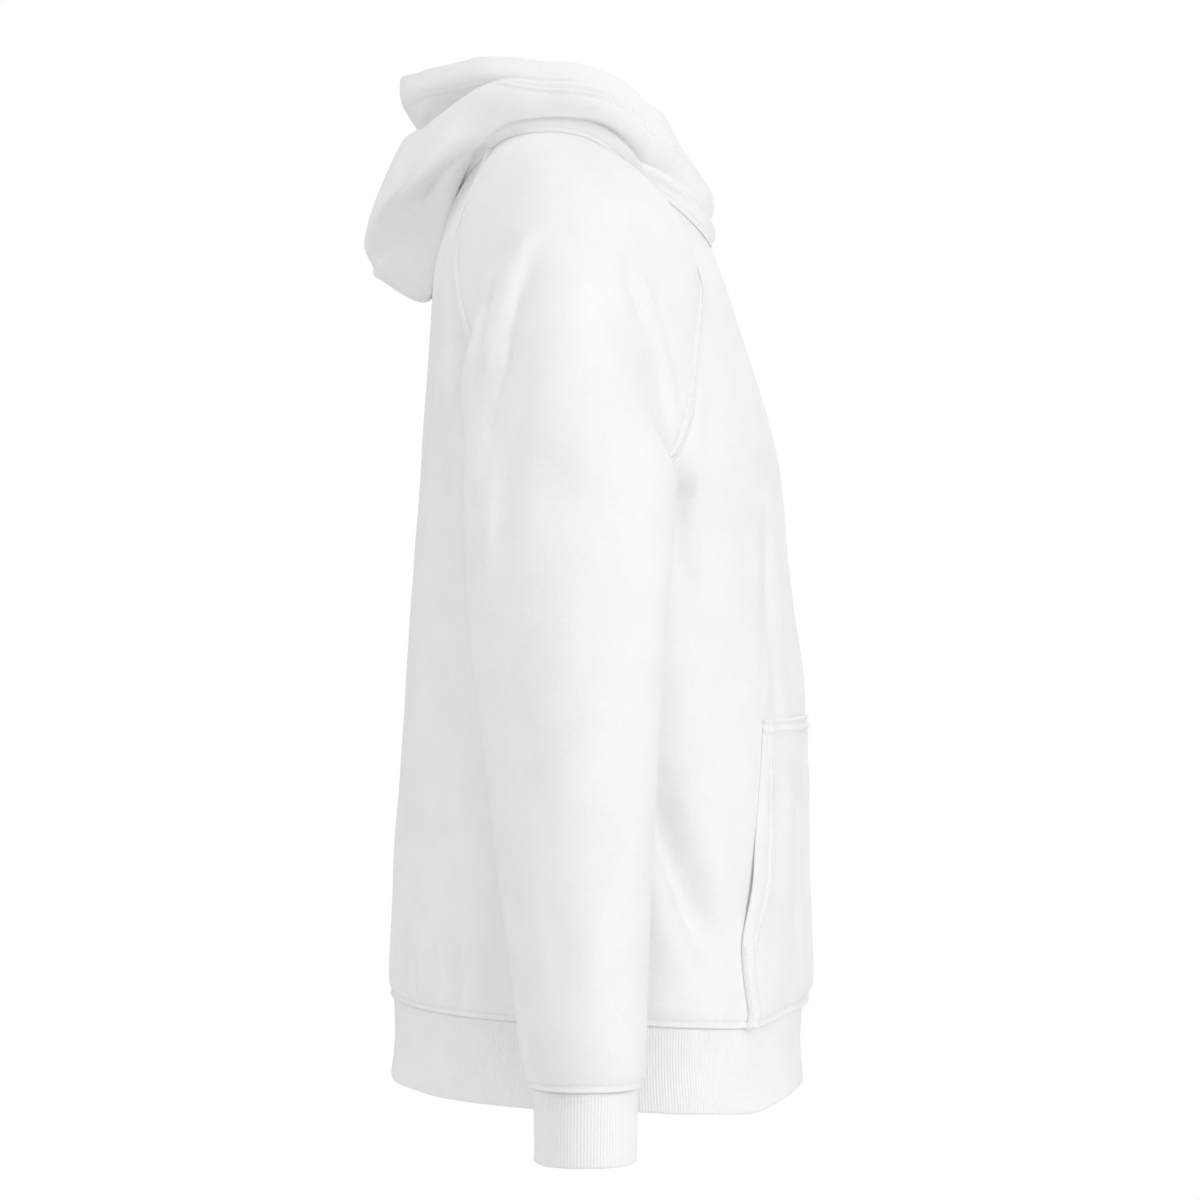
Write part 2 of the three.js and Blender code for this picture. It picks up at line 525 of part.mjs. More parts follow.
function hoodSection(base, over) {
  const away = new THREE.Vector3(base.x, base.y - NECK_AXIS_FORE, 0);
  const turn = THREE.MathUtils.radToDeg(Math.atan2(Math.abs(away.x), -away.y));
  away.normalize();
  const offset = (line) => [0, 1].map((part) => between(
    HOOD.map((row) => ({ turn: row.turn, value: row[line][part] })), 'turn', 'value', turn,
  ));
  const offsets = [[0, 0], ...HOOD_LINES.map(offset)];
  const profile = new THREE.SplineCurve(offsets.map(([out, up]) => new THREE.Vector2(out, up)));
  const faded = smooth((turn - CROSSOVER_TURN) / (CROSSOVER_FADE - CROSSOVER_TURN));
  const lift = over * CROSSOVER_LIFT * (1 - faded);
  return step(0, 1, HOOD_STEPS).map((share) => {
    const point = profile.getPoint(share);
    const along = profile.getTangent(share);
    const out = point.x + lift * along.y;
    const up = point.y - lift * along.x;
    return base.clone().addScaledVector(away, out).add(new THREE.Vector3(0, 0, up));
  });
}

// One half of the hood. over is 1 for the half that crosses on top at the front neck, -1 for the other.
function hood(over) {
  const bases = neckline();
  const crossed = bases.slice(1, CROSSOVER_COLUMNS + 1).map(mirrored).reverse();
  const sections = [...crossed, ...bases].map((base) => hoodSection(base, over));
  const neckAxis = (row, point) => new THREE.Vector3(0, NECK_AXIS_FORE, point.z);
  return wall(sections, neckAxis);
}

// Pocket

function pocket() {
  const rows = POCKET_COURSES.map((up) => {
    const ring = rowAt(BODY, 'up', up);
    const half = between(POCKET, 'up', 'half', up);
    return step(-1, 1, POCKET_COLUMNS).map((share) => {
      const out = share * half;
      const depth = (1 - (Math.abs(out) / ring.half) ** ring.square) ** (1 / ring.square);
      const point = new THREE.Vector3(out, mix(ring.side, ring.front, depth), up);
      point.z -= hemDip(point);
      return point;
    });
  });
  const normals = normalsOf(rows, bodyAxis);
  const mouth = (up) => smooth((up + 605) / 30) * smooth((-436 - up) / 40);
  const raised = rows.map((row, v) => row.map((point, u) => {
    const edge = Math.abs(u / POCKET_COLUMNS - 0.5) * 2;
    const room = POCKET_MOUTH_LIFT * smooth((edge - 0.5) / 0.5) * mouth(point.z);
    const fold = foldHeight(POCKET_FOLDS, point) * smooth(v / 2) * smooth((rows.length - 1 - v) / 2);
    return point.clone().addScaledVector(normals[v][u], CLOTH + POCKET_GAP + room + fold);
  }));
  return wall(raised);
}

// Rib knit tubes

// Evenly spaced points on a closed ring.
function spaced(points, count) {
  const curve = new THREE.CatmullRomCurve3(points, true);
  curve.arcLengthDivisions = 4 * count;
  return curve.getSpacedPoints(count).slice(0, count);
}

// A tube of rib knit: ribs stand on the outside, and the inside is plain with fewer points.
function ribTube(rings, ribs) {
  const outerCount = 2 * ribs;
  const innerCount = outerCount / INNER_SHARE;
  const positions = [];
  const offsetRing = (ring, count, lift) => spaced(ring, count).forEach((point, i, all) => {
    const ahead = new THREE.Vector3().subVectors(all[(i + 1) % count], all[(i + count - 1) % count]);
    const outwards = new THREE.Vector3(ahead.y, -ahead.x, 0).normalize();
    if (outwards.dot(new THREE.Vector3().subVectors(point, rowCentre(ring))) < 0) outwards.negate();
    positions.push(point.clone().addScaledVector(outwards, lift(i)));
  });
  rings.forEach((ring) => offsetRing(ring, outerCount, (i) => (i % 2 ? 0 : -RIB_HEIGHT)));
  rings.forEach((ring) => offsetRing(ring, innerCount, () => -RIB_WALL - RIB_HEIGHT));
  const o = (v, u) => v * outerCount + (u % outerCount);
  const i = (v, u) => rings.length * outerCount + v * innerCount + (u % innerCount);
  const triangles = [];
  const quad = (a, b, c, d) => triangles.push([a, b, c], [a, c, d]);
  const last = rings.length - 1;
  for (let v = 0; v < last; v += 1) {
    for (let u = 0; u < outerCount; u += 1) quad(o(v, u), o(v, u + 1), o(v + 1, u + 1), o(v + 1, u));
    for (let u = 0; u < innerCount; u += 1) quad(i(v, u), i(v + 1, u), i(v + 1, u + 1), i(v, u + 1));
  }
  [[0, false], [last, true]].forEach(([v, turned]) => {
    const face = (a, b, c) => triangles.push(turned ? [a, b, c] : [a, c, b]);
    for (let u = 0; u < innerCount; u += 1) {
      const first = u * INNER_SHARE;
      for (let k = 0; k < INNER_SHARE; k += 1) face(o(v, first + k), o(v, first + k + 1), i(v, u));
      face(o(v, first + INNER_SHARE), i(v, u + 1), i(v, u));
    }
  });
  return solid(positions, triangles);
}

function bodyRing(ring) {
  const right = [...ringCourse(ring, 'front'), ...ringCourse(ring, 'back').slice(0, -1).reverse()];
  return [...right, ...right.slice(1, -1).map(mirrored).reverse()];
}

const HEM_RINGS = [
  { up: HEM_SEAM_UP - SEAM_GAP / 2, front: -190.5, back: 118.5, half: 210, side: -52, square: 2.45 },
  { up: (HEM_SEAM_UP + HEM_UP) / 2, front: -188.5, back: 117.5, half: 208.5, side: -52, square: 2.5 },
  { up: HEM_UP, front: -190, back: 121, half: 211, side: -52, square: 2.65 },
];
const CUFF_RINGS = [
  { up: CUFF_SEAM_UP - SEAM_GAP / 2, inner: 262.5, outer: 329, front: -63.5, back: 7 },
  { up: CUFF_UP, inner: 264, outer: 330, front: -62.5, back: 7 },
];

function cuffRing({ up, inner, outer, front, back }) {
  const middle = (front + back) / 2;
  return step(0, 2 * Math.PI, SLEEVE_COLUMNS).slice(0, -1).map((turn) => new THREE.Vector3(
    -(inner + outer) / 2 - ((outer - inner) / 2) * Math.cos(turn),
    middle + ((back - front) / 2) * Math.sin(turn),
    up,
  ));
}

// The garment

const WHITE_FLEECE = { color: '#f4f4f3', roughness: 0.95, metalness: 0 };
const WHITE_RIB = { color: '#f1f1f0', roughness: 0.97, metalness: 0 };

function piece(name, geometry, cloth) {
  const mesh = new THREE.Mesh(geometry, new THREE.MeshStandardMaterial(cloth));
  mesh.name = name;
  return mesh;
}

// The same piece for the wearer's left.
function toLeft(geometry) {
  const left = geometry.clone();
  left.scale(-1, 1, 1);
  const index = left.getIndex();
  for (let i = 0; i < index.count; i += 3) {
    const second = index.getX(i + 1);
    index.setX(i + 1, index.getX(i + 2));
    index.setX(i + 2, second);
  }
  left.computeVertexNormals();
  return left;
}

const garment = new THREE.Group();
const rightSleeve = sleeve();
const rightCuff = ribTube(CUFF_RINGS.map(cuffRing), CUFF_RIBS);
garment.add(
  piece('front_panel', panel('front'), WHITE_FLEECE),
  piece('back_panel', panel('back'), WHITE_FLEECE),
  piece('sleeve_right', rightSleeve, WHITE_FLEECE),
  piece('sleeve_left', toLeft(rightSleeve), WHITE_FLEECE),
  piece('cuff_right', rightCuff, WHITE_RIB),
  piece('cuff_left', toLeft(rightCuff), WHITE_RIB),
  piece('hem_band', ribTube(HEM_RINGS.map(bodyRing), HEM_RIBS), WHITE_RIB),
  piece('pocket', pocket(), WHITE_FLEECE),
  piece('hood_right', hood(1), WHITE_FLEECE),
  piece('hood_left', toLeft(hood(-1)), WHITE_FLEECE),
);

export default garment;
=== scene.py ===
import math
import bpy
import numpy as np
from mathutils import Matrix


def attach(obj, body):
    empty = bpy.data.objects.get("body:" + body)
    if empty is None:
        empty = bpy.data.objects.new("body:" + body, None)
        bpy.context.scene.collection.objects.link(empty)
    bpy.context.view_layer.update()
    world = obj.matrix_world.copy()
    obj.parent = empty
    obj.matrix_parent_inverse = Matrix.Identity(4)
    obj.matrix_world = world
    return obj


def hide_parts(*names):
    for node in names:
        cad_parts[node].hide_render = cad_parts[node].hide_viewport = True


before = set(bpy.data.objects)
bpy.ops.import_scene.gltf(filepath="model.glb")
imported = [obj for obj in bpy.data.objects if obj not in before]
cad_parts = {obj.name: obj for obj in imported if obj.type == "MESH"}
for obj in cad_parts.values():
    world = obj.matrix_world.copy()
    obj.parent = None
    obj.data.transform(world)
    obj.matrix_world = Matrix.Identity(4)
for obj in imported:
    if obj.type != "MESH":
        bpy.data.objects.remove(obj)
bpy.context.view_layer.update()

# The cloth is worked out in millimetres, in the frame's own directions: the front faces -Y, the wearer's
# right is -X and +Z is up. "out" is the distance from the middle plane, "fore" is Y and "up" is Z.
MM = 0.001

# Driving dimensions
CLOTH = 2.0  # wall of brushed fleece
RIB_WALL = 2.9  # wall of rib knit with its ribs
RIB_HEIGHT = 0.5
RIB_GROWS = 1.2  # the length over which a rib reaches its height
RIB_AT_SEAM = 0.6  # share of a rib's height at the band's seam
SEAM_GAP = 0.06  # between two pieces at a seam
SEAM_ROUND = 0.35  # radius of an edge that is sewn to another
EDGE_ROUND = 0.9  # radius of a folded edge that lies free
BAND_ROUND = 1.2  # radius of the folded lower edge of a band
SEAM_STITCHES = 3.4  # how far from its seam a row of stitches runs
HEM_STITCHES = 4.0  # how far from a band of rib knit it runs
COVER_STITCHES = 0.3  # how far from a raglan seam the row on its crest runs
FRONT_EDGE_STITCHES = 6.0  # how far from the hood's crossed front edge it runs
CASING_STITCHES = (20, 24.5)  # how far from the hood's rim its two rows run
HAND_HEM = {"least": 7.0, "more": 11.5, "up": -530, "wide": 68}  # its width beside a hand opening
POCKET_CORDS = (1.6, 8.6)  # how far from the pocket's edge its two raised rows of stitches run
UNDERARM_UP = -276.0  # the highest course that goes all round the body or the arm
RAGLAN_LENGTH = 310.0  # about the length of a raglan seam
RAGLAN_HIGH = 2.8
SIDE_SEAM = (0.6, 1.6, 0.5)  # its distance, width and height beside the panel's edge
HEM_SEAM_UP = -642.0
HEM_UP = -703.0
CUFF_SEAM_UP = -673.0
CUFF_UP = -724.0
ARM_MIDDLE_FORE = -38.0
BACK_ROUNDNESS = 1.95
NECK_AXIS_FORE = -20.0
ON_MIDDLE = 0.01  # a point this near the middle plane lies on it
POCKET_GAP = 0.75
POCKET_EDGE_GAP = 0.2
MOUTH_GAPE = {"up": -550, "wide": 25, "high": 2.2}  # where a hand opening stands away the most
MOUTH_SPAN = {"foot": -605, "foot_fade": 30, "head": -436, "head_fade": 40}  # of a hand opening
POCKET_COVER = {"past": 8, "fade": 12, "head": -424, "head_fade": 10}  # of the cloth under the pocket
BARTACK_SPAN = (0.235, 0.285)  # of the pocket's side edge
BARTACK_ROWS = (0.9, 1.5, 2.1, 2.7)
HEM_DIP = {"out": 178, "wide": 30, "deep": 6, "from": -585, "fade": 45, "side": -58, "turn": 40}

# Fineness of the grids
SEAM_STEPS = np.array([0, 0.4, 0.9, 1.5, 2.2, 3.0, 4.0, 5.2, 6.6, 8.4, 10.6, 13.4, 17.0])
HEM_STEPS = np.concatenate([SEAM_STEPS[:7], np.arange(5.0, 27.5, 1.1)])  # over a wide stitched hem
BAND_STEPS = np.array([0, 0.5, 1.2, 2.6, 5.4])
SPACING = 3.8
BAND_SPACING = 8.5
HOOD_SPACING = 2.6
HEM_RIBS = 560
CUFF_RIBS = 94
COLUMNS_PER_RIB = 4
FINE = 240  # points of a course before it is spaced out

# Relief beside an edge: how far from it each bump or furrow lies, its width and its height
HEM_PROFILE = [(1.5, 1.5, 1.9), (4.4, 1.1, -0.6)]
CASING_PROFILE = [(11, 8, 0.7), (CASING_STITCHES[0], 0.9, -0.6), (22.2, 1.0, 0.3),
                  (CASING_STITCHES[1], 0.9, -0.6)]
CORD_PROFILE = [(0, 1.5, 1.6), (2.9, 1.0, -0.7)]
HAND_HEM_PROFILE = [(-2.4, 1.2, -1.6), (0, 1.4, 1.7), (2.6, 1.3, -0.8)]
FRONT_EDGE_PROFILE = [(5, 3, 0.4)]
NECK_FURROW = -0.35
HOOD_NECK_FURROW = -0.4
HOOD_SEAM_HIGH = 0.9

# How high the soft waviness of each piece is
UNEVEN = {"panel": 0.9, "sleeve": 0.8, "pocket": 0.5, "hood": 0.5}

# How far from its side, hem and neck edges the large folds and the small creases of a piece fade out
PANEL_FADES = {"folds": (50, 16, 90), "creases": (9, 9, 16)}
SLEEVE_FADES = {"folds": (45, 22, 90), "creases": (10, 10, 20)}

# Thread
STITCH = 2.9  # from one stitch to the next
THREAD = 0.36  # radius
COVER_PITCH = 2.2
COVER_THREAD = 0.8
STITCH_RINGS = [(-0.44, 0.5, -0.28), (-0.2, 1.0, 0.1), (0.2, 1.0, 0.1), (0.44, 0.5, -0.28)]
STITCH_SIDES = 5
WHOLE = (0, 1)  # the span of a row that runs from end to end
MOUTH_STITCH_SPAN = (0.24, 0.97)  # of the pocket's side edge, beside its hand opening
FOOT_STITCH_SPAN = (0.02, 0.24)  # of the pocket's side edge, below its hand opening
RAGLAN_SPAN = (0.53, 1)  # the part of a panel's side that is a raglan seam
SLEEVE_NECK_SPAN = (0.02, 0.98)
FRONT_EDGE_SPAN = (0.05, 1)

# Knitted cloth: its two colours, wales and courses in a metre, and how it takes the light
FLEECE = {"light": (0.90, 0.90, 0.893), "shade": (0.85, 0.85, 0.842), "wales": 800, "courses": 900,
          "nap": 0.9, "bump": 0.42, "sheen": 0.25}
RIB_KNIT = {"light": (0.905, 0.905, 0.9), "shade": (0.865, 0.865, 0.858), "wales": 1500, "courses": 1100,
            "nap": 0.82, "bump": 0.35, "sheen": 0.2}
THREAD_SHADE = (0.88, 0.88, 0.876)
THREAD_LIGHT = (0.95, 0.95, 0.948)

# Stage and light, in metres and watts: each lamp's place, what it aims at and its power
FLOOR_UP = -1.35
FLOOR_HALF = 2.2
FLOOR_WHITE = 0.92
WORLD_LIGHT = 0.415
LAMP_SIZE = 2.0
LAMPS = [
    ("front_key", (-1.9, -2.7, 0.7), (-0.1, 0, -0.35), 45),
    ("side_fill", (-2.9, 0.1, 0.4), (-0.1, 0, -0.35), 19),
    ("far_fill", (2.6, -1.4, 0.8), (0.1, 0, -0.35), 28),
    ("back_fill", (0.4, 3.0, 0.6), (0, 0, -0.35), 26),
    ("top_fill", (-0.6, 0.2, 2.1), (-0.1, 0, -0.2), 15),
]


def table(names, rows):
    return dict(zip(names.split(), np.array(rows, dtype=float).T))


# Body rings below the underarm
BODY = table("up front back half side square", [
    (-642, -190.5, 118.5, 210, -52, 2.45),
    (-630, -194, 122, 215.5, -51, 2.35),
    (-590, -194.5, 120, 217, -48, 2.2),
    (-534, -193.5, 117, 217, -45, 2.15),
    (-473, -192.5, 113, 216, -42, 2.15),
    (-412, -191.5, 109, 214.5, -40, 2.15),
    (-367, -186, 106, 213, -39, 2.2),
    (-321, -180.5, 103, 212, -38, 2.25),
    (-272, -177, 100, 211, -38, 2.3),
])

# Courses above the underarm, by how far they have risen along the raglan seams
RAGLAN = table("rise front_fore front_up back_fore back_up square", [
    (0.0, -177, -274, 100, -272, 2.3),
    (0.2, -172, -236, 97, -232, 2.3),
    (0.4, -162, -196, 94, -188, 2.25),
    (0.6, -149, -156, 91, -142, 2.2),
    (0.8, -136, -115, 86.5, -94, 2.1),
    (1.0, -121.5, -76, 78, -46, 2),
])
FRONT_SEAM = table("rise out fore up", [
    (0.0, 211, -38, -272), (0.1, 210.5, -68, -260), (0.2, 207, -90, -241), (0.3, 200, -99, -218),
    (0.4, 192, -103, -196), (0.5, 183.5, -105.5, -172), (0.6, 172.5, -108, -146), (0.7, 158, -109, -119),
    (0.8, 137, -100, -94), (0.9, 105, -82, -65), (1.0, 66, -65, -36),
])
BACK_SEAM = table("rise out fore up", [
    (0.0, 211, -38, -272), (0.1, 210.5, -9, -258), (0.2, 207, 17, -237), (0.3, 201, 34, -211),
    (0.4, 193, 46, -184), (0.5, 182, 54, -157), (0.6, 170, 60.5, -133), (0.7, 153, 64.3, -104),
    (0.8, 134, 62.5, -77), (0.9, 109, 53.5, -46), (1.0, 74, 43, -12),
])
OVERARM = table("rise out fore up", [
    (0.0, 312, -17, -262), (0.1, 304, -16, -218), (0.2, 291, -14, -175), (0.3, 274, -12, -136),
    (0.4, 252, -10, -101), (0.5, 226, -7, -71), (0.6, 198, -5, -47), (0.7, 170, -3, -29),
    (0.8, 142, -1, -15), (0.9, 115, 0, -6), (1.0, 88, 0, 0),
])

# Sleeve rings below the underarm
SLEEVE = table("up inner outer front back", [
    (-272, 211, 312, -89, 56),
    (-317, 217, 321, -87, 55),
    (-371, 224, 327, -84, 52),
    (-425, 231, 331, -79.5, 45),
    (-480, 238, 333, -76, 38),
    (-534, 244, 334, -73, 31),
    (-588, 250, 334.5, -71, 24),
    (-643, 256, 334.5, -69.5, 16.5),
    (-664, 258, 333.5, -69, 12.5),
    (-673, 261.5, 330, -64.5, 8),
])
FRONT_TUCK = (0, 0.3)
BACK_TUCK = (0.2, 0.6)
INNER_SETTLES = 80  # the length over which the inner arm comes to the sleeve's middle
ARC_HANDLE = 0.55
HALF_TURN_HANDLE = 4 / 3
CAD_COLUMNS = 10  # of half a panel in the frame, whose last step gives the way a course leaves its seam

# Hood sections by their turn from centre front: how far out and up from the neckline each line of the
# folded cloth lies
HOOD_LINES = "band crest bottom lip valley roll ridge dip casing rim".split()
HOOD = [
    (0, (2.5, 7), (2, 13), (-2, 18), (-1, 22), (0, 25), (1.5, 31), (0, 37), (-2, 40), (-4.5, 43),
     (-13, 52)),
    (25, (3.5, 7), (5, 12), (3, 16), (4, 20), (5.5, 23), (6.5, 30), (4.5, 37), (2, 40), (-1, 42),
     (-9, 51)),
    (50, (4, 6), (7.5, 12), (6, 16), (9.5, 18), (14, 23), (17.5, 32), (16.5, 40), (15, 43), (14, 46),
     (10.5, 60)),
    (75, (3, 6), (5.5, 12.5), (5, 15.5), (12, 14.5), (16, 18), (18, 27), (17.5, 37), (15.5, 40),
     (14.5, 42), (11, 54)),
    (90, (1.5, 6), (3, 11), (5, 12.5), (9, 11.5), (11.5, 14.5), (14.5, 24), (15, 35), (13.5, 38),
     (13.5, 40), (10.5, 52)),
    (103, (1, 5.5), (2.2, 9.8), (4.2, 10.6), (7, 9.8), (9, 12.5), (12.5, 22), (13.5, 33), (12, 36),
     (12.5, 38.5), (9.5, 51)),
    (118, (1, 5), (2.4, 8.6), (4.6, 9.4), (7.8, 8.6), (10.5, 11.5), (18, 23), (19.5, 37), (16, 40.5),
     (17.5, 44.5), (14.5, 57)),
    (130, (1.2, 3.5), (3, 6), (5.5, 6.2), (9, 5.2), (13, 8), (26, 20), (27.5, 37), (17.5, 41.5),
     (25.5, 51), (23, 65)),
    (140, (1.2, 2), (2.8, 2.5), (5.2, 1.8), (11, 2.5), (15.5, 5.5), (38, 10), (35, 34), (16, 42),
     (31, 57), (27, 73)),
    (150, (1.5, 1.2), (3.2, 0), (5.4, -8.5), (16, -3), (21, 3.5), (51.5, -9), (37, 34), (15, 44),
     (34, 64), (29, 82)),
    (160, (2.5, 2), (5.2, 0.5), (10, -41), (23, -16), (27, -6), (58, -15), (37, 40), (15.5, 49),
     (34, 71), (31, 89)),
    (171, (3.5, 2.5), (6, 1), (12.4, -66), (38, -37), (42, -29), (61, -19), (35.5, 45), (19, 53),
     (33.5, 76), (34, 96)),
    (180, (3.5, 2.5), (6.3, 1.5), (12.8, -69), (52, -53.5), (56, -45), (61.5, -20), (34, 46), (21, 55),
     (33, 78), (35, 98)),
]
CROSSOVER_OUT = 17.8  # how far each front edge of the hood passes the middle
CROSSOVER_LIFT = 1.3
CROSSOVER_TURN = 14
CROSSOVER_FADE = 44

POCKET = table("up half", [
    (-430, 149), (-480, 156), (-535, 166), (-585, 177), (-600, 178), (-641.85, 178),
])

HEM_RINGS = table("up front back half side square", [
    (-642.1, -190.5, 118.5, 210, -52, 2.45),
    (-672.5, -188.5, 117.5, 208.5, -52, 2.5),
    (-703, -190, 121, 211, -52, 2.65),
])
CUFF_RINGS = table("up inner outer front back", [
    (-673.1, 262.5, 329, -63.5, 7),
    (-698, 263.2, 329.4, -63, 7),
    (-724, 264, 330, -62.5, 7),
])

# The large folds, which the frame's solids have too, alike on both sides: a line, its width and height
BODY_FOLDS = [
    ((122, -160, -300), (122, -165, -428), 13, -4.5),
    ((192, -80, -480), (172, -118, -618), 24, -8),
    ((203, -88, -262), (196, -100, -330), 13, -5),
    ((160, 66, -128), (196, 44, -262), 22, -8),
    ((128, 88, -596), (130, 88, -636), 8, 3.5),
    ((104, 98, -600), (106, 98, -636), 7, 3),
    ((70, 108, -606), (68, 108, -636), 8, 3),
]
SLEEVE_FOLDS = [
    ((250, 20, -92), (300, 40, -190), 12, 8),
    ((240, 34, -96), (280, 50, -158), 9, -7),
    ((290, 14, -140), (318, 34, -300), 14, -5),
    ((262, -58, -106), (276, -72, -158), 12, -6),
    ((250, -72, -112), (268, -84, -205), 9, 4),
    ((322, 34, -330), (330, 14, -470), 14, -1.5),
]
POCKET_FOLDS = [
    ((62, -188, -470), (66, -190, -625), 8, 3),
    ((96, -180, -505), (100, -182, -628), 8, 2.5),
]

# The photograph's view: the camera looks along +X from this far off, level with this point
VIEW_FORE = -38.0
VIEW_UP = -344.0
VIEW_OUT = 2700.0
VIEW_PIXEL = 0.76  # millimetres of the middle plane in one pixel of 1200
VIEW_CENTRE = 600
SENSOR = 36

# The two sides' small folds: the side, the share of their height and how far back and up they are moved
SIDES = [(-1, 1.0, 0, 0), (1, 0.8, 7, -11)]

# Smaller folds of the side that the photograph shows: where they run in its pixels, how far out that
# cloth lies, and their width and height
SLEEVE_CREASES = [
    ([(520, 242), (508, 264), (500, 286), (494, 312), (490, 336), (486, 360), (480, 382)], 290, 6, 4.2),
    ([(487, 280), (481, 300), (477, 320), (472, 348)], 290, 4.5, -5.5),
    ([(504, 230), (492, 252), (483, 274)], 280, 6, -4.0),
    ([(527, 262), (514, 300), (507, 330), (504, 360), (497, 384), (490, 420), (487, 465)], 305, 8, -6.8),
    ([(508, 372), (498, 396), (492, 422), (490, 500), (483, 580), (478, 625)], 320, 3.2, 0.9),
    ([(500, 470), (500, 540), (502, 622)], 322, 9, -0.8),
    ([(638, 258), (651, 298), (663, 338), (673, 385), (679, 440)], 275, 3.6, 2.0),
    ([(626, 256), (635, 284), (648, 320)], 285, 5, -3.0),
    ([(652, 330), (664, 385), (670, 440)], 275, 6, -1.4),
    ([(610, 640), (622, 730), (620, 830)], 325, 16, -1.2),
    ([(560, 560), (566, 680), (560, 800)], 330, 22, 0.9),
    ([(520, 700), (536, 800), (540, 900)], 330, 14, -1.0),
    ([(575, 880), (590, 950), (585, 1000)], 330, 12, 1.1),
    ([(548, 900), (560, 960), (556, 1004)], 330, 8, -1.0),
    ([(618, 905), (616, 960), (608, 1005)], 325, 8, -0.9),
    ([(560, 470), (600, 500), (640, 512)], 322, 12, -0.8),
]
PANEL_CREASES = [
    ([(451, 316), (457, 350), (460, 385), (461, 432)], 195, 9, -12.0),
    ([(440, 320), (445, 370), (452, 440)], 185, 6, 1.4),
    ([(455, 455), (448, 540), (446, 640), (452, 760)], 205, 12, -2.2),
    ([(680, 470), (682, 495), (676, 520)], 205, 7, -2.4),
    ([(668, 540), (674, 575), (682, 640)], 205, 13, -1.4),
    ([(700, 385), (697, 430), (693, 500), (690, 530)], 200, 5, 1.2),
    ([(765, 450), (767, 560), (766, 640), (762, 724)], 150, 2.6, -1.1),
    ([(773, 480), (776, 600), (772, 712)], 140, 6, 0.3),
    ([(650, 776), (664, 832), (686, 888), (712, 955)], 200, 11, -13.0),
    ([(640, 850), (660, 920), (690, 985)], 208, 15, 5.5),
    ([(690, 780), (715, 860), (735, 930)], 190, 12, 2.0),
    ([(410, 925), (418, 970), (420, 1012)], 180, 5, 3.4),
    ([(430, 935), (434, 975), (433, 1012)], 190, 5, -3.4),
    ([(446, 950), (447, 980), (444, 1012)], 200, 4.5, 3.2),
    ([(458, 955), (458, 985), (457, 1012)], 203, 4.5, -2.8),
    ([(478, 900), (480, 960), (476, 1012)], 205, 8, 1.6),
    ([(500, 950), (502, 980), (500, 1014)], 210, 7, -1.2),
    ([(660, 985), (662, 1015)], 205, 7, 1.0),
]
POCKET_CREASES = [
    ([(784, 900), (786, 955), (786, 1022)], 110, 3.0, -3.2),
    ([(789, 752), (789, 841), (786, 905), (781, 985)], 105, 4.5, 1.6),
    ([(797, 770), (799, 860), (795, 950)], 95, 6, -1.1),
    ([(776, 760), (778, 850), (774, 940)], 130, 6, -0.8),
]
HOOD_CREASES = [
    ([(655, 178), (680, 192), (695, 200)], 90, 4, -1.2),
    ([(430, 107), (420, 122), (414, 137)], 40, 4, 1.2),
    ([(560, 100), (600, 106), (640, 120)], 100, 5, 0.8),
    ([(500, 100), (470, 118), (446, 146)], 90, 6, -0.9),
    ([(520, 134), (492, 156), (470, 190)], 95, 5, 0.8),
]
HEM_CREASES = [
    ([(743, 1030), (756, 1042), (768, 1052)], 160, 5, -2.6),
    ([(734, 1040), (748, 1054), (760, 1064)], 165, 5, 1.6),
    ([(700, 1024), (706, 1050), (704, 1080)], 195, 7, -1.0),
    ([(560, 1020), (566, 1050), (560, 1085)], 210, 10, 0.8),
    ([(455, 1016), (460, 1040), (456, 1070)], 195, 7, -1.0),
]

# Soft folds of the front and the back: where they run as out and up, on the wearer's right where out
# is below zero
FRONT_CREASES = [
    ([(-150, -250), (-95, -262), (-40, -268)], 16, -1.8),
    ([(150, -246), (100, -262), (50, -272)], 15, -1.7),
    ([(-140, -290), (-80, -318), (-30, -330)], 18, 1.3),
    ([(138, -285), (82, -312), (26, -330)], 18, 1.4),
    ([(-60, -120), (-30, -150), (0, -158)], 13, -1.1),
    ([(60, -122), (26, -152), (0, -160)], 13, -1.1),
    ([(-88, -340), (-92, -400), (-100, -470)], 16, -1.5),
    ([(92, -345), (98, -402), (96, -470)], 17, -1.5),
    ([(-20, -350), (-14, -430), (-18, -540)], 22, 1.2),
    ([(36, -400), (30, -480), (38, -560)], 16, -1.0),
    ([(-150, -600), (-120, -622), (-84, -632)], 9, -1.4),
    ([(150, -604), (122, -620), (80, -632)], 9, -1.4),
]
BACK_CREASES = [
    ([(-150, -210), (-96, -236), (-36, -246)], 18, -2.0),
    ([(152, -214), (96, -232), (34, -246)], 18, -2.0),
    ([(-140, -262), (-84, -292), (-30, -304)], 18, 1.5),
    ([(142, -256), (88, -288), (26, -302)], 18, 1.5),
    ([(-96, -330), (-104, -420), (-98, -520)], 19, -1.8),
    ([(92, -336), (104, -430), (96, -520)], 19, -1.8),
    ([(-30, -350), (-38, -460), (-30, -580)], 24, 1.5),
    ([(38, -380), (30, -480), (36, -590)], 22, 1.2),
    ([(-6, -560), (-2, -600), (-6, -634)], 9, -1.5),
    ([(34, -580), (36, -610), (34, -636)], 7, 1.3),
    ([(-48, -575), (-46, -610), (-48, -636)], 8, 1.4),
    ([(-74, -590), (-72, -615), (-74, -636)], 7, -1.2),
    ([(72, -590), (74, -615), (72, -636)], 7, -1.2),
]


# Numbers

def smooth(share):
    t = np.clip(share, 0, 1)
    return t * t * (3 - 2 * t)


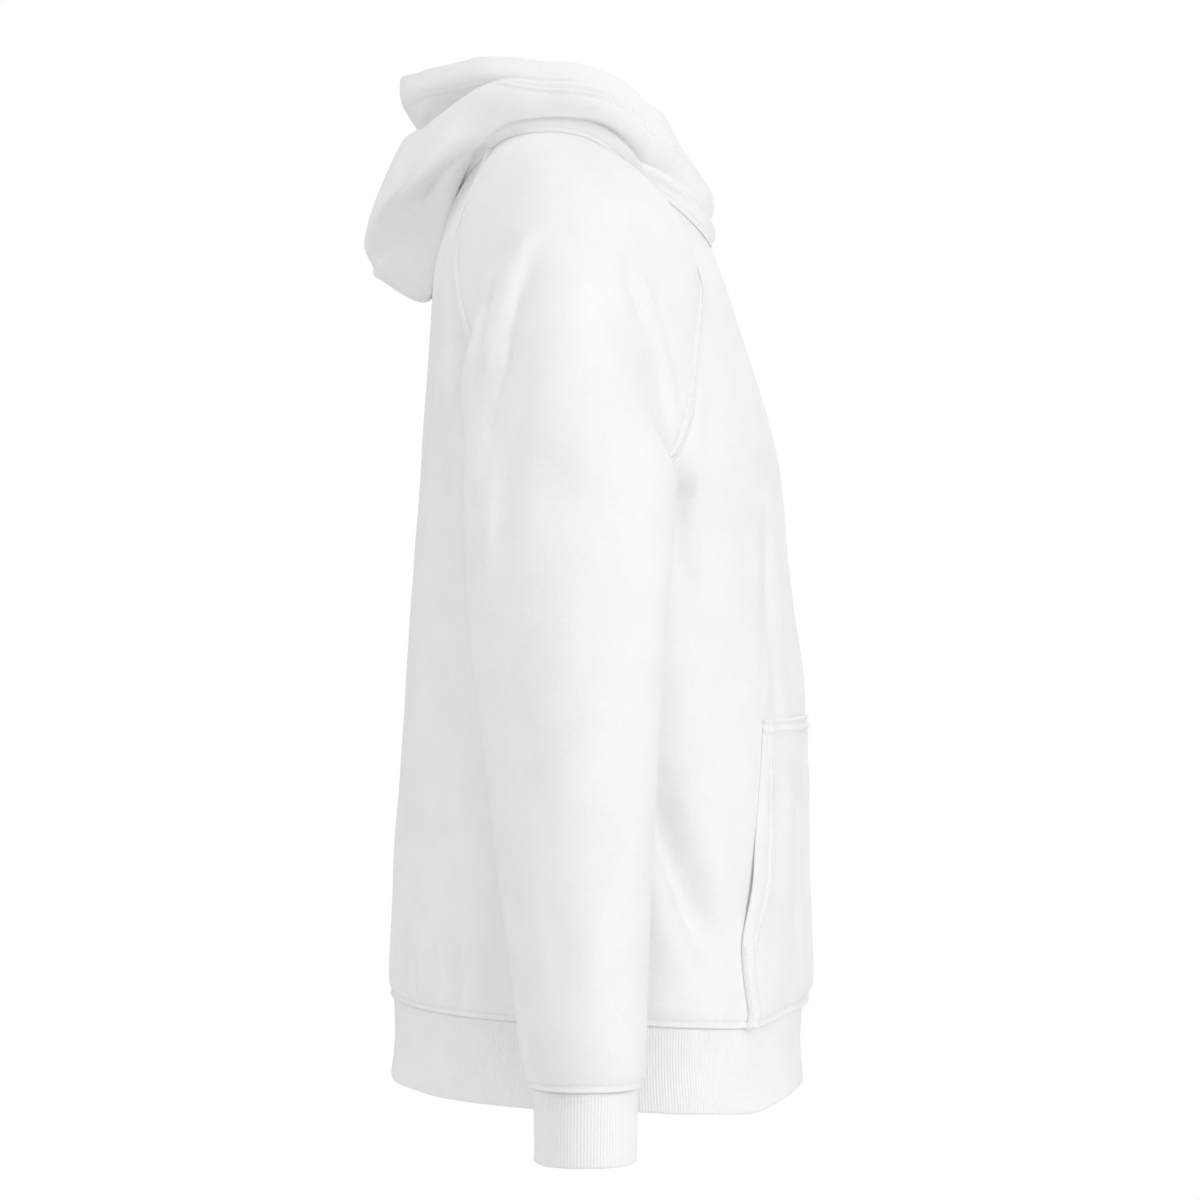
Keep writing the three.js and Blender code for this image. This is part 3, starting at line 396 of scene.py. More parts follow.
def between(rows, by, column, place):
    """The value of a column at places between a table's rows, on a cubic through them."""
    keys, values = rows[by], rows[column]
    if keys[0] > keys[-1]:
        keys, values = keys[::-1], values[::-1]
    slopes = np.empty_like(values)
    slopes[1:-1] = (values[2:] - values[:-2]) / (keys[2:] - keys[:-2])
    slopes[0] = (values[1] - values[0]) / (keys[1] - keys[0])
    slopes[-1] = (values[-1] - values[-2]) / (keys[-1] - keys[-2])
    i = np.clip(np.searchsorted(keys, place, side="right") - 1, 0, len(keys) - 2)
    span = keys[i + 1] - keys[i]
    t = np.clip((place - keys[i]) / span, 0, 1)
    from_start = (2 * t ** 3 - 3 * t ** 2 + 1) * values[i] + (t ** 3 - 2 * t ** 2 + t) * span * slopes[i]
    from_end = (3 * t ** 2 - 2 * t ** 3) * values[i + 1] + (t ** 3 - t ** 2) * span * slopes[i + 1]
    return from_start + from_end


def row_at(rows, by, place):
    return {column: between(rows, by, column, place) for column in rows if column != by}


def lengths_along(grid, axis):
    """The distance along a grid's lines from their first points."""
    steps = np.linalg.norm(np.diff(grid, axis=axis), axis=-1)
    start = np.zeros_like(np.take(steps, [0], axis=axis))
    return np.concatenate([start, np.cumsum(steps, axis=axis)], axis=axis)


def places_along(lengths, spacing, first, last, steps=SEAM_STEPS):
    """Places along lines of these lengths, closer together by a seam at the first or last end."""
    start = steps if first else steps[:1]
    end = steps if last else steps[:1]
    lengths = np.atleast_1d(lengths)
    open_length = lengths - start[-1] - end[-1]
    count = int(math.ceil(open_length.max() / spacing))
    shares = np.linspace(0, 1, count + 1)[1:-1]
    rows = [np.concatenate([start, start[-1] + shares * span, length - end[::-1]])
            for length, span in zip(lengths, open_length)]
    return np.array(rows)


def respaced(lines, places):
    """Each line's points at the given distances along it."""
    along = lengths_along(lines, 1)
    return np.array([
        np.stack([np.interp(place, reach, line[:, k]) for k in range(line.shape[1])], axis=-1)
        for line, reach, place in zip(lines, along, places)
    ])


def normals_of(grid, axis_points):
    across = np.gradient(grid, axis=1)
    along = np.gradient(grid, axis=0)
    normals = np.cross(across, along)
    normals[np.abs(grid[..., 0]) < ON_MIDDLE, 0] = 0
    normals /= np.maximum(np.linalg.norm(normals, axis=-1, keepdims=True), 1e-9)
    if np.sum(normals * (grid - axis_points)) < 0:
        normals = -normals
    return normals


def upright_axis(grid, fore):
    axis = grid.copy()
    axis[..., 0] = 0
    axis[..., 1] = fore
    return axis


def body_axis(grid):
    return upright_axis(grid, ARM_MIDDLE_FORE)


def neck_axis(grid):
    return upright_axis(grid, NECK_AXIS_FORE)


def row_axis(grid):
    return np.broadcast_to(grid.mean(axis=1, keepdims=True), grid.shape)


# Relief

def from_line(points, line):
    """The distance of each point from a line through the given points, and how far along it that is."""
    nearest = np.full(points.shape[:-1], np.inf)
    reach = np.zeros(points.shape[:-1])
    passed = 0.0
    for start, end in zip(line[:-1], line[1:]):
        way = end - start
        length = np.linalg.norm(way)
        share = np.clip(((points - start) @ way) / length ** 2, 0, 1)
        gap = np.linalg.norm(points - start - share[..., None] * way, axis=-1)
        closer = gap < nearest
        nearest = np.where(closer, gap, nearest)
        reach = np.where(closer, passed + share * length, reach)
        passed += length
    return nearest, reach / passed


def large_folds(grid, folds):
    here = grid.copy()
    here[..., 0] = np.abs(here[..., 0])
    height = np.zeros(grid.shape[:-1])
    for start, end, wide, high in folds:
        distance, _ = from_line(here, np.array([start, end], dtype=float))
        height += high * np.exp(-((distance / wide) ** 2))
    return height


def crease(points, line, wide, high):
    """A soft ridge or trough along a line, which thins out towards its two ends."""
    distance, reach = from_line(points, np.array(line, dtype=float))
    ends = 0.35 + 0.65 * smooth(reach / 0.25) * smooth((1 - reach) / 0.25)
    return high * ends * np.exp(-((distance / wide) ** 2))


def seen_in_photo(pixels, out):
    """Where pixels of the photograph lie, as fore and up, on cloth that is this far out."""
    pixel = VIEW_PIXEL * (VIEW_OUT - out) / VIEW_OUT
    return [(VIEW_FORE - (x - VIEW_CENTRE) * pixel, VIEW_UP - (y - VIEW_CENTRE) * pixel) for x, y in pixels]


def side_creases(grid, normals, creases):
    """Folds seen from the side."""
    height = np.zeros(grid.shape[:-1])
    side_on = grid[..., 1:]
    for sign, share, back, lift in SIDES:
        facing = smooth((sign * normals[..., 0] + 0.02) / 0.3) * (sign * grid[..., 0] > 0)
        if not facing.any():
            continue
        for pixels, out, wide, high in creases:
            line = [(fore + back, up + lift) for fore, up in seen_in_photo(pixels, out)]
            height += share * facing * crease(side_on, line, wide, high)
    return height


def face_creases(grid, normals, creases, sign):
    """Folds seen from the front, with sign -1, or the back, with sign 1."""
    facing = smooth((sign * normals[..., 1] - 0.1) / 0.4)
    face_on = grid[..., [0, 2]]
    return sum(facing * crease(face_on, line, wide, high) for line, wide, high in creases)


def unevenness(grid, high):
    """The soft waviness of cloth that hangs free."""
    x, y, z = (grid[..., k] for k in range(3))
    wave = np.sin(x / 31 + 0.8 * np.sin(z / 57)) * np.sin(z / 44 + 1.3 * np.sin(y / 39 + 1))
    ripple = np.sin(y / 17 + x / 23 + 1.1 * np.sin(z / 29)) * np.sin(z / 21 + 2)
    return high * (0.7 * wave + 0.3 * ripple)


def bump_at(distance, place, wide, high):
    return high * np.exp(-(((distance - place) / wide) ** 2))


def rounded(distance, radius):
    inside = np.clip(radius - distance, 0, radius)
    return np.sqrt(radius ** 2 - inside ** 2) - radius


def seam_relief(distance, high):
    """A seam stands up where two pieces meet, between two furrows."""
    return bump_at(distance, 0.3, 1.5, high) + bump_at(distance, 3.1, 0.9, -0.7 * high)


def relief(distance, profile):
    return sum(bump_at(distance, *bump) for bump in profile)


def neck_furrow(distance, high):
    return bump_at(distance, SEAM_STITCHES, 0.9, high)


def faded(edges, lengths):
    """1 away from the edges, fading to 0 at each one over its length."""
    share = 1.0
    for distance, length in zip(edges, lengths):
        share = share * smooth(distance / length)
    return share


def edges_of(grid):
    """The distance of each point of a grid from its first and last column and its first and last row."""
    across = lengths_along(grid, 1)
    along = lengths_along(grid, 0)
    return across, across[:, -1:] - across, along, along[-1:] - along


# The garment's courses

def half_course(centre, seam, middle, roundness, shares):
    """Half courses of body cloth, arcs of a rounded ellipse from the centre line to a seam."""
    depth = centre["fore"] - middle
    share = np.maximum((seam["fore"] - middle) / depth, 0)
    half = seam["out"] / (1 - share ** roundness) ** (1 / roundness)
    end = np.arctan2((seam["out"] / half) ** (roundness / 2), share ** (roundness / 2))
    turn = end[:, None] * shares
    power = (2 / roundness)[:, None]
    out = half[:, None] * np.sin(turn) ** power
    fore = middle[:, None] + depth[:, None] * np.maximum(np.cos(turn), 0) ** power
    rise = (out / seam["out"][:, None]) ** 2
    up = centre["up"][:, None] + (seam["up"] - centre["up"])[:, None] * rise
    return np.stack([-out, fore, up], axis=-1)


def hem_dip(points):
    """How far the hem seam hangs below its height, where the pocket's corner weighs it down."""
    near = bump_at(np.abs(points[..., 0]), HEM_DIP["out"], HEM_DIP["wide"], HEM_DIP["deep"])
    before = smooth((HEM_DIP["side"] - points[..., 1]) / HEM_DIP["turn"])
    return near * before * smooth((HEM_DIP["from"] - points[..., 2]) / HEM_DIP["fade"])


def ring_courses(rings, ups, face, shares):
    ring = row_at(rings, "up", ups)
    centre = {"fore": ring[face], "up": ups}
    seam = {"out": ring["half"], "fore": ring["side"], "up": ups}
    roundness = ring["square"] if face == "front" else np.full_like(ups, BACK_ROUNDNESS)
    course = half_course(centre, seam, ring["side"], roundness, shares)
    course[..., 2] -= hem_dip(course)
    return course


def raglan_courses(rises, face, shares):
    centre = row_at(RAGLAN, "rise", rises)
    seam = row_at(FRONT_SEAM if face == "front" else BACK_SEAM, "rise", rises)
    middle = {"fore": centre[face + "_fore"], "up": centre[face + "_up"]}
    roundness = centre["square"] if face == "front" else np.full_like(rises, BACK_ROUNDNESS)
    return half_course(middle, seam, np.full_like(rises, ARM_MIDDLE_FORE), roundness, shares)


RISES = places_along([RAGLAN_LENGTH], SPACING, False, True)[0] / RAGLAN_LENGTH


def heights_from(seam):
    """Heights from a seam with rib knit up to the underarm."""
    return places_along([UNDERARM_UP - seam], SPACING, True, False)[0] + seam + SEAM_GAP / 2


def panel_grid(face):
    low = heights_from(HEM_SEAM_UP)
    shares = np.linspace(0, 1, FINE)
    halves = np.concatenate([ring_courses(BODY, low, face, shares), raglan_courses(RISES, face, shares)])
    lengths = lengths_along(halves, 1)[:, -1]
    halves = respaced(halves, places_along(lengths, SPACING, False, True))
    return both_halves(halves)


def both_halves(halves):
    """Whole courses from half ones that start at the centre line on the wearer's right."""
    other = halves * np.array([-1, 1, 1])
    return np.concatenate([halves[:, :0:-1], other], axis=1)


# The sleeves' sections

def blended(closed, opened, share):
    return closed + (opened - closed) * share


def half_sections(start, top, side, extent, open_share, leave):
    """Half sections of a sleeve, from the seam or the inner arm to the overarm line."""
    closed_handle = HALF_TURN_HANDLE * np.abs(extent - (start[:, 1] + top[:, 1]) / 2)
    bend = blended(np.pi / 2, leave, open_share)
    leave_length = blended(closed_handle, ARC_HANDLE * np.abs(top[:, 0] - start[:, 0]), open_share)
    arrive_length = blended(closed_handle, ARC_HANDLE * np.abs(top[:, 1] - start[:, 1]), open_share)
    rise = ARC_HANDLE * (top[:, 2] - start[:, 2]) * open_share
    leaving = np.stack([-np.cos(bend) * leave_length, side * np.sin(bend) * leave_length, rise], axis=-1)
    arriving = np.stack([0 * arrive_length, side * arrive_length, 0 * arrive_length], axis=-1)
    first, second = start + leaving, top + arriving
    t = np.linspace(0, 1, FINE)[None, :, None]
    return ((1 - t) ** 3 * start[:, None] + 3 * (1 - t) ** 2 * t * first[:, None]
            + 3 * (1 - t) * t ** 2 * second[:, None] + t ** 3 * top[:, None])


def joined_sections(front, back):
    return np.concatenate([front, back[:, -2::-1]], axis=1)


def cap_sections(rises):
    top = row_at(OVERARM, "rise", rises)
    top_points = np.stack([-top["out"], top["fore"], top["up"]], axis=-1)
    halves = []
    for face, side, tuck in (("front", -1, FRONT_TUCK), ("back", 1, BACK_TUCK)):
        ends = raglan_courses(rises, face, np.linspace(0, 1, CAD_COLUMNS + 1))[:, -2:]
        leave = np.arctan2(side * (ends[:, 1, 1] - ends[:, 0, 1]), ends[:, 0, 0] - ends[:, 1, 0])
        open_share = smooth((rises - tuck[0]) / (tuck[1] - tuck[0]))
        extent = SLEEVE[face][0]
        halves.append(half_sections(ends[:, 1], top_points, side, extent, open_share, leave))
    return joined_sections(*halves)


def tube_sections(ups):
    ring = row_at(SLEEVE, "up", ups)
    middle = (ring["front"] + ring["back"]) / 2
    settled = smooth((SLEEVE["up"][0] - ups) / INNER_SETTLES)
    inner = np.stack([-ring["inner"], ARM_MIDDLE_FORE + (middle - ARM_MIDDLE_FORE) * settled, ups], axis=-1)
    outer = np.stack([-ring["outer"], middle, ups], axis=-1)
    none = np.zeros_like(ups)
    return joined_sections(
        half_sections(inner, outer, -1, ring["front"], none, none),
        half_sections(inner, outer, 1, ring["back"], none, none),
    )


def sleeve_grid():
    sections = np.concatenate([tube_sections(heights_from(CUFF_SEAM_UP)), cap_sections(RISES)])
    lengths = lengths_along(sections, 1)[:, -1]
    return respaced(sections, places_along(lengths, SPACING, True, True))


# The hood's sections

def spline_through(points, count):
    """Catmull-Rom curves through the points of each row, with the ends held as they are."""
    last = points.shape[1] - 1
    place = np.linspace(0, 1, count) * last
    i = np.minimum(place.astype(int), last - 1)
    t = (place - i)[None, :, None]
    before = points[:, np.maximum(i - 1, 0)]
    start = points[:, i]
    end = points[:, i + 1]
    after = points[:, np.minimum(i + 2, last)]
    before = np.where((i == 0)[None, :, None], start, before)
    slope_start, slope_end = (end - before) / 2, (after - start) / 2
    return ((2 * start - 2 * end + slope_start + slope_end) * t ** 3
            + (-3 * start + 3 * end - 2 * slope_start - slope_end) * t ** 2
            + slope_start * t + start)


def neckline():
    """The right side's top edges from centre front to centre back, evenly spaced, and the part of it
    that is carried on past the middle."""
    one = np.array([1.0])
    shares = np.linspace(0, 1, FINE)
    front = raglan_courses(one, "front", shares)[0]
    over = cap_sections(one)[0]
    back = raglan_courses(one, "back", shares)[0][::-1]
    line = np.concatenate([front, over[1:], back[1:]])
    line = respaced(line[None], places_along([lengths_along(line, 0)[-1]], HOOD_SPACING, False, True))[0]
    crossed = line[1:][np.abs(line[1:, 0]) < CROSSOVER_OUT]
    turns_back = int(np.argmax(np.diff(np.abs(crossed[:, 0])) < 0))
    crossed = crossed[:turns_back or len(crossed)]
    return line, crossed[::-1] * np.array([-1, 1, 1])


def hood_grid(over):
    """One half of the hood. over is 1 for the half on top at the front neck and -1 for the other."""
    line, crossed = neckline()
    bases = np.concatenate([crossed, line])
    away = bases - neck_axis(bases)
    away[:, 2] = 0
    turn = np.degrees(np.arctan2(np.abs(away[:, 0]), -away[:, 1]))
    away /= np.linalg.norm(away, axis=-1, keepdims=True)
    turns = np.array([row[0] for row in HOOD], dtype=float)
    offsets = [np.zeros((len(bases), 2))]
    for k in range(len(HOOD_LINES)):
        rows = {"turn": turns, "out": np.array([row[k + 1][0] for row in HOOD], dtype=float),
                "up": np.array([row[k + 1][1] for row in HOOD], dtype=float)}
        offsets.append(np.stack([between(rows, "turn", part, turn) for part in ("out", "up")], axis=-1))
    profile = spline_through(np.stack(offsets, axis=1), 2 * FINE)
    along = np.gradient(profile, axis=1)
    along /= np.linalg.norm(along, axis=-1, keepdims=True)
    faded = smooth((turn - CROSSOVER_TURN) / (CROSSOVER_FADE - CROSSOVER_TURN))
    lift = (over * CROSSOVER_LIFT * (1 - faded))[:, None]
    out = profile[..., 0] + lift * along[..., 1]
    up = profile[..., 1] - lift * along[..., 0]
    sections = bases[:, None] + away[:, None] * out[..., None] + np.array([0, 0, 1]) * up[..., None]
    lengths = lengths_along(sections, 1)[:, -1]
    return respaced(sections, places_along(lengths, HOOD_SPACING, False, True, HEM_STEPS))


# The pocket's place on the front

def pocket_base():
    foot = HEM_SEAM_UP + SEAM_GAP / 2
    ups = foot + places_along([POCKET["up"][0] - HEM_SEAM_UP], SPACING, True, True, HEM_STEPS)[0]
    ring = row_at(BODY, "up", ups)
    half = between(POCKET, "up", "half", ups)
    out = np.linspace(-1, 1, 2 * FINE)[None, :] * half[:, None]
    share = np.abs(out) / ring["half"][:, None]
    square = ring["square"][:, None]
    depth = (1 - share ** square) ** (1 / square)
    fore = ring["side"][:, None] + (ring["front"] - ring["side"])[:, None] * depth
    points = np.stack([out, fore, np.broadcast_to(ups[:, None], out.shape)], axis=-1)
    points[..., 2] -= hem_dip(points)
    lengths = lengths_along(points, 1)[:, -1]
    return respaced(points, places_along(lengths, SPACING, True, True, HEM_STEPS))


def mouth_share(points):
    up = points[..., 2]
    opened = smooth((up - MOUTH_SPAN["foot"]) / MOUTH_SPAN["foot_fade"])
    return opened * smooth((MOUTH_SPAN["head"] - up) / MOUTH_SPAN["head_fade"])


def under_pocket(points):
    """1 on the cloth that the pocket covers, fading out round it."""
    up = points[..., 2]
    half = between(POCKET, "up", "half", np.clip(up, POCKET["up"].min(), POCKET["up"].max()))
    within = smooth((half + POCKET_COVER["past"] - np.abs(points[..., 0])) / POCKET_COVER["fade"])
    return within * smooth((POCKET_COVER["head"] - up) / POCKET_COVER["head_fade"])


# Meshes

def in_scene(name, data):
    holder = bpy.data.objects.new(name, data)
    bpy.context.scene.collection.objects.link(holder)
    return holder


def add_mesh(name, points, faces, material, uvs=None):
    mesh = bpy.data.meshes.new(name)
    mesh.from_pydata((points * MM).tolist(), [], faces)
    if uvs is not None:
        layer = mesh.uv_layers.new(name="cut")
        corners = np.zeros(len(mesh.loops), dtype=np.int64)
        mesh.loops.foreach_get("vertex_index", corners)
        layer.data.foreach_set("uv", (uvs[corners] * MM).astype(np.float32).ravel())
    mesh.polygons.foreach_set("use_smooth", np.ones(len(mesh.polygons), dtype=bool))
    mesh.materials.append(material)
    mesh.validate()
    mesh.update()
    return in_scene(name, mesh)


def quads(a, b, c, d):
    return np.stack([a, b, c, d], axis=-1).reshape(-1, 4)


def facing_out(points, faces):
    """The faces, turned round where the closed mesh would be inside out."""
    a, b, c, d = (points[faces[:, k]] for k in range(4))
    volume = np.sum(np.cross(a, b) * c) + np.sum(np.cross(a, c) * d)
    return faces if volume > 0 else faces[:, ::-1]


def shell(name, outer, inner, material, closed=False):
    """A closed shell between two grids. closed joins the last column to the first one."""
    rows, columns = outer.shape[:2]
    points = np.concatenate([outer.reshape(-1, 3), inner.reshape(-1, 3)])
    number = np.arange(rows * columns).reshape(rows, columns)
    if closed:
        number = np.concatenate([number, number[:, :1]], axis=1)
    under = number + rows * columns
    faces = [
        quads(number[:-1, :-1], number[:-1, 1:], number[1:, 1:], number[1:, :-1]),
        quads(under[:-1, :-1], under[1:, :-1], under[1:, 1:], under[:-1, 1:]),
        quads(number[0, 1:], number[0, :-1], under[0, :-1], under[0, 1:]),
        quads(number[-1, :-1], number[-1, 1:], under[-1, 1:], under[-1, :-1]),
    ]
    if not closed:
        faces.append(quads(number[:-1, 0], number[1:, 0], under[1:, 0], under[:-1, 0]))
        faces.append(quads(number[1:, -1], number[:-1, -1], under[:-1, -1], under[1:, -1]))
    faces = facing_out(points, np.concatenate(faces))
    across = lengths_along(outer, 1)
    across = across - across[:, columns // 2][:, None]
    along = lengths_along(outer, 0)
    uvs = np.stack([across, along], axis=-1).reshape(-1, 2)
    return add_mesh(name, points, faces.tolist(), material, np.concatenate([uvs, uvs]))


def finished(piece, node):
    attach(piece, "root")
    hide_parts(node)


def cloth(name, node, grid, normals, height, edge_round, inner_round=None, thick=CLOTH):
    """A wall of fleece with its relief raised, and its edges rounded on both faces, or more on one.
    Its outer face is returned."""
    inner_round = edge_round if inner_round is None else inner_round
    outer = grid + normals * (height + edge_round)[..., None]
    inner = grid + normals * (height - thick - inner_round)[..., None]
    fleece = knit_material(name.replace("cloth", "fleece"), **FLEECE)
    finished(shell(name, outer, inner, fleece), node)
    return outer


def held_back(grid):
    """The grid with its outer rows and columns kept half a seam's gap from their neighbours."""
    grid = grid.copy()
    for edge, inside in ((np.s_[0], np.s_[1]), (np.s_[-1], np.s_[-2]), (np.s_[:, 0], np.s_[:, 1]),
                         (np.s_[:, -1], np.s_[:, -2])):
        way = grid[inside] - grid[edge]
        way /= np.maximum(np.linalg.norm(way, axis=-1, keepdims=True), 1e-9)
        grid[edge] += way * SEAM_GAP / 2
    return grid


# Stitches

def line_beside(grid, outer, normals, edge, offset, span):
    """A line on the cloth's outer face, with its normals. The offset from one edge is measured on the
    grid, as the relief's are."""
    every = np.concatenate([outer, normals, grid], axis=-1)
    turned = {"first_column": every, "last_column": every[:, ::-1],
              "first_row": every.transpose(1, 0, 2), "last_row": every[::-1].transpose(1, 0, 2)}[edge]
    reach = lengths_along(turned[..., 6:], 1)
    offsets = np.broadcast_to(offset, len(turned))
    line = np.array([[np.interp(place, along, row[:, k]) for k in range(6)]
                     for place, along, row in zip(offsets, reach, turned)])
    total = lengths_along(line[:, :3], 0)
    kept = (total >= span[0] * total[-1]) & (total <= span[1] * total[-1])
    return line[kept]


def stitches(line, pitch, thread):
    """The points and faces of the stitches along a line of points and normals."""
    reach = lengths_along(line[:, :3], 0)
    count = int(reach[-1] / pitch)
    places = (np.arange(count) + 0.5) * reach[-1] / count
    at = np.stack([np.interp(places, reach, line[:, k]) for k in range(6)], axis=-1)
    ahead = np.stack([np.interp(places + 0.6, reach, line[:, k]) for k in range(3)], axis=-1)
    behind = np.stack([np.interp(places - 0.6, reach, line[:, k]) for k in range(3)], axis=-1)
    way = ahead - behind
    way /= np.linalg.norm(way, axis=-1, keepdims=True)
    normal = at[:, 3:]
    side = np.cross(way, normal)
    side /= np.linalg.norm(side, axis=-1, keepdims=True)
    rings = []
    for place, share, lift in STITCH_RINGS:
        for k in range(STITCH_SIDES):
            turn = 2 * np.pi * k / STITCH_SIDES
            rings.append(at[:, :3] + way * place * pitch + side * thread * share * math.cos(turn)
                         + normal * (thread * share * math.sin(turn) + lift))
    points = np.stack(rings, axis=1)
    per = len(STITCH_RINGS) * STITCH_SIDES
    k = np.arange(STITCH_SIDES)
    after = (k + 1) % STITCH_SIDES
    sides = np.concatenate([
        quads(ring * STITCH_SIDES + k, ring * STITCH_SIDES + after,
              (ring + 1) * STITCH_SIDES + after, (ring + 1) * STITCH_SIDES + k)
        for ring in range(len(STITCH_RINGS) - 1)
    ])
    return points.reshape(-1, 3), (np.arange(count) * per)[:, None, None] + sides, per


def sew(name, sewn, rows, pitch=STITCH, thread=THREAD):
    """One piece of all stitches in rows beside a cloth's edges. sewn is its grid, outer face and
    normals, and each row has its edge, its offset from it and its span."""
    points, faces, caps, total = [], [], [], 0
    k = np.arange(STITCH_SIDES)
    for edge, offset, span in rows:
        row_points, row_faces, per = stitches(line_beside(*sewn, edge, offset, span), pitch, thread)
        points.append(row_points)
        faces.append(row_faces.reshape(-1, 4) + total)
        first = np.arange(len(row_points) // per)[:, None] * per + total
        caps.append(first + k[::-1])
        caps.append(first + per - STITCH_SIDES + k)
        total += len(row_points)
    every = np.concatenate(faces).tolist() + np.concatenate(caps).tolist()
    piece = add_mesh(name, np.concatenate(points), every, THREAD_WHITE)
    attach(piece, "root")


# Materials

def new_material(name):
    material = bpy.data.materials.new(name)
    material.use_nodes = True
    tree = material.node_tree
    return material, tree, tree.nodes["Principled BSDF"]


def add_node(tree, kind, inputs=None, **settings):
    node = tree.nodes.new(kind)
    for key, value in settings.items():
        setattr(node, key, value)
    for key, value in (inputs or {}).items():
        node.inputs[key].default_value = value
    return node


def math_node(tree, operation, first, second):
    node = add_node(tree, "ShaderNodeMath", operation=operation)
    for k, value in enumerate((first, second)):
        if isinstance(value, (int, float)):
            node.inputs[k].default_value = value
        else:
            tree.links.new(value, node.inputs[k])
    return node.outputs[0]


def coloured(tree, shader, tone, stops):
    """Gives the shader its colour from a tone, between two stops with a place and a colour each."""
    ramp = add_node(tree, "ShaderNodeValToRGB")
    for element, (place, colour) in zip(ramp.color_ramp.elements, stops):
        element.position = place
        element.color = (*colour, 1)
    tree.links.new(tone, ramp.inputs["Fac"])
    tree.links.new(ramp.outputs["Color"], shader.inputs["Base Color"])


def bumped(tree, shader, height, strength, distance):
    relief_node = add_node(tree, "ShaderNodeBump", {"Strength": strength, "Distance": distance})
    tree.links.new(height, relief_node.inputs["Height"])
    tree.links.new(relief_node.outputs["Normal"], shader.inputs["Normal"])


def knit_material(name, light, shade, wales, courses, nap, bump, sheen):
    """Knitted cloth: wales and courses from the cut's own lengths, a nap of loose fibre and soft
    patches where the nap lies differently."""
    material, tree, shader = new_material(name)
    place = add_node(tree, "ShaderNodeTexCoord")
    cut = add_node(tree, "ShaderNodeUVMap", uv_map="cut")

    def noise(scale, detail, rough, distortion=0.0):
        node = add_node(tree, "ShaderNodeTexNoise", {
            "Scale": scale, "Detail": detail, "Roughness": rough, "Distortion": distortion})
        tree.links.new(place.outputs["Object"], node.inputs["Vector"])
        return node.outputs["Fac"]

    def wave(direction, scale, distortion):
        node = add_node(tree, "ShaderNodeTexWave", {
            "Scale": scale, "Distortion": distortion, "Detail": 2.0, "Detail Scale": 1.5},
            wave_type="BANDS", bands_direction=direction)
        tree.links.new(cut.outputs["UV"], node.inputs["Vector"])
        return node.outputs["Fac"]

    def times(value, factor):
        return math_node(tree, "MULTIPLY", value, factor)

    def added(first, second):
        return math_node(tree, "ADD", first, second)

    fibre = noise(1300.0, 4.0, 0.62, 0.5)
    tufts = noise(420.0, 3.0, 0.55)
    patches = noise(26.0, 3.0, 0.5, 0.4)
    knit = added(times(wave("X", wales / 20, 1.2), 0.6), times(wave("Y", courses / 20, 1.6), 0.4))
    surface = added(times(fibre, nap), times(tufts, nap * 0.9))
    surface = added(surface, times(knit, 1 - nap))
    tone = added(times(patches, 0.55), times(surface, 0.3))
    coloured(tree, shader, tone, [(0.3, shade), (0.62, light)])

    dull = add_node(tree, "ShaderNodeMapRange", {
        "From Min": 0.2, "From Max": 0.8, "To Min": 0.86, "To Max": 0.98})
    tree.links.new(tufts, dull.inputs["Value"])
    tree.links.new(dull.outputs["Result"], shader.inputs["Roughness"])

    bumped(tree, shader, surface, bump, 0.0006)
    shader.inputs["Specular IOR Level"].default_value = 0.2
    shader.inputs["Sheen Weight"].default_value = sheen
    shader.inputs["Sheen Roughness"].default_value = 0.55
    return material


def thread_material():
    material, tree, shader = new_material("white_thread")
    place = add_node(tree, "ShaderNodeTexCoord")
    twist = add_node(tree, "ShaderNodeTexNoise", {"Scale": 2600.0, "Detail": 2.0})
    tree.links.new(place.outputs["Object"], twist.inputs["Vector"])
    coloured(tree, shader, twist.outputs["Fac"], [(0, THREAD_SHADE), (1, THREAD_LIGHT)])
    bumped(tree, shader, twist.outputs["Fac"], 0.4, 0.0002)
    shader.inputs["Roughness"].default_value = 0.7
    shader.inputs["Sheen Weight"].default_value = 0.1
    return material


THREAD_WHITE = thread_material()


def folded(grid, axis_of, folds, share):
    """The grid with a share of its large folds, held back from its neighbours, and its normals."""
    raised = normals_of(grid, axis_of(grid)) * (large_folds(grid, folds) * share)[..., None]
    grid = held_back(grid + raised)
    return grid, normals_of(grid, axis_of(grid))


def above_underarm(grid):
    return smooth((grid[..., 2] - UNDERARM_UP) / 12)


# Body panels

def make_panel(face, sign, creases):
    grid = panel_grid(face)
    right, left, hem, neck = edges_of(grid)
    side = np.minimum(right, left)
    edges = (side, hem, neck)
    grid, normals = folded(grid, body_axis, BODY_FOLDS, faded(edges, PANEL_FADES["folds"]))
    free = faded(edges, PANEL_FADES["creases"])
    if face == "front":
        free = free * (1 - 0.9 * under_pocket(grid))
    height = side_creases(grid, normals, PANEL_CREASES) * free
    height += face_creases(grid, normals, creases, sign) * free
    height += unevenness(grid, UNEVEN["panel"]) * free
    above = above_underarm(grid)
    height += seam_relief(side, RAGLAN_HIGH) * above + bump_at(side, *SIDE_SEAM) * (1 - above)
    height += relief(hem, HEM_PROFILE) + neck_furrow(neck, NECK_FURROW)
    edge_round = rounded(np.minimum.reduce(edges), SEAM_ROUND)
    node = face + "_panel"
    outer = cloth(face + "_cloth", node, grid, normals, height, edge_round)
    sewn = (grid, outer, normals)
    rows = [("first_row", HEM_STITCHES, WHOLE), ("last_row", SEAM_STITCHES, WHOLE)]
    sew(face + "_stitching", sewn, rows)
    cover = [(edge, COVER_STITCHES, RAGLAN_SPAN) for edge in ("first_column", "last_column")]
    sew(face + "_cover_stitching", sewn, cover, COVER_PITCH, COVER_THREAD)


make_panel("front", -1, FRONT_CREASES)
make_panel("back", 1, BACK_CREASES)


# Sleeves

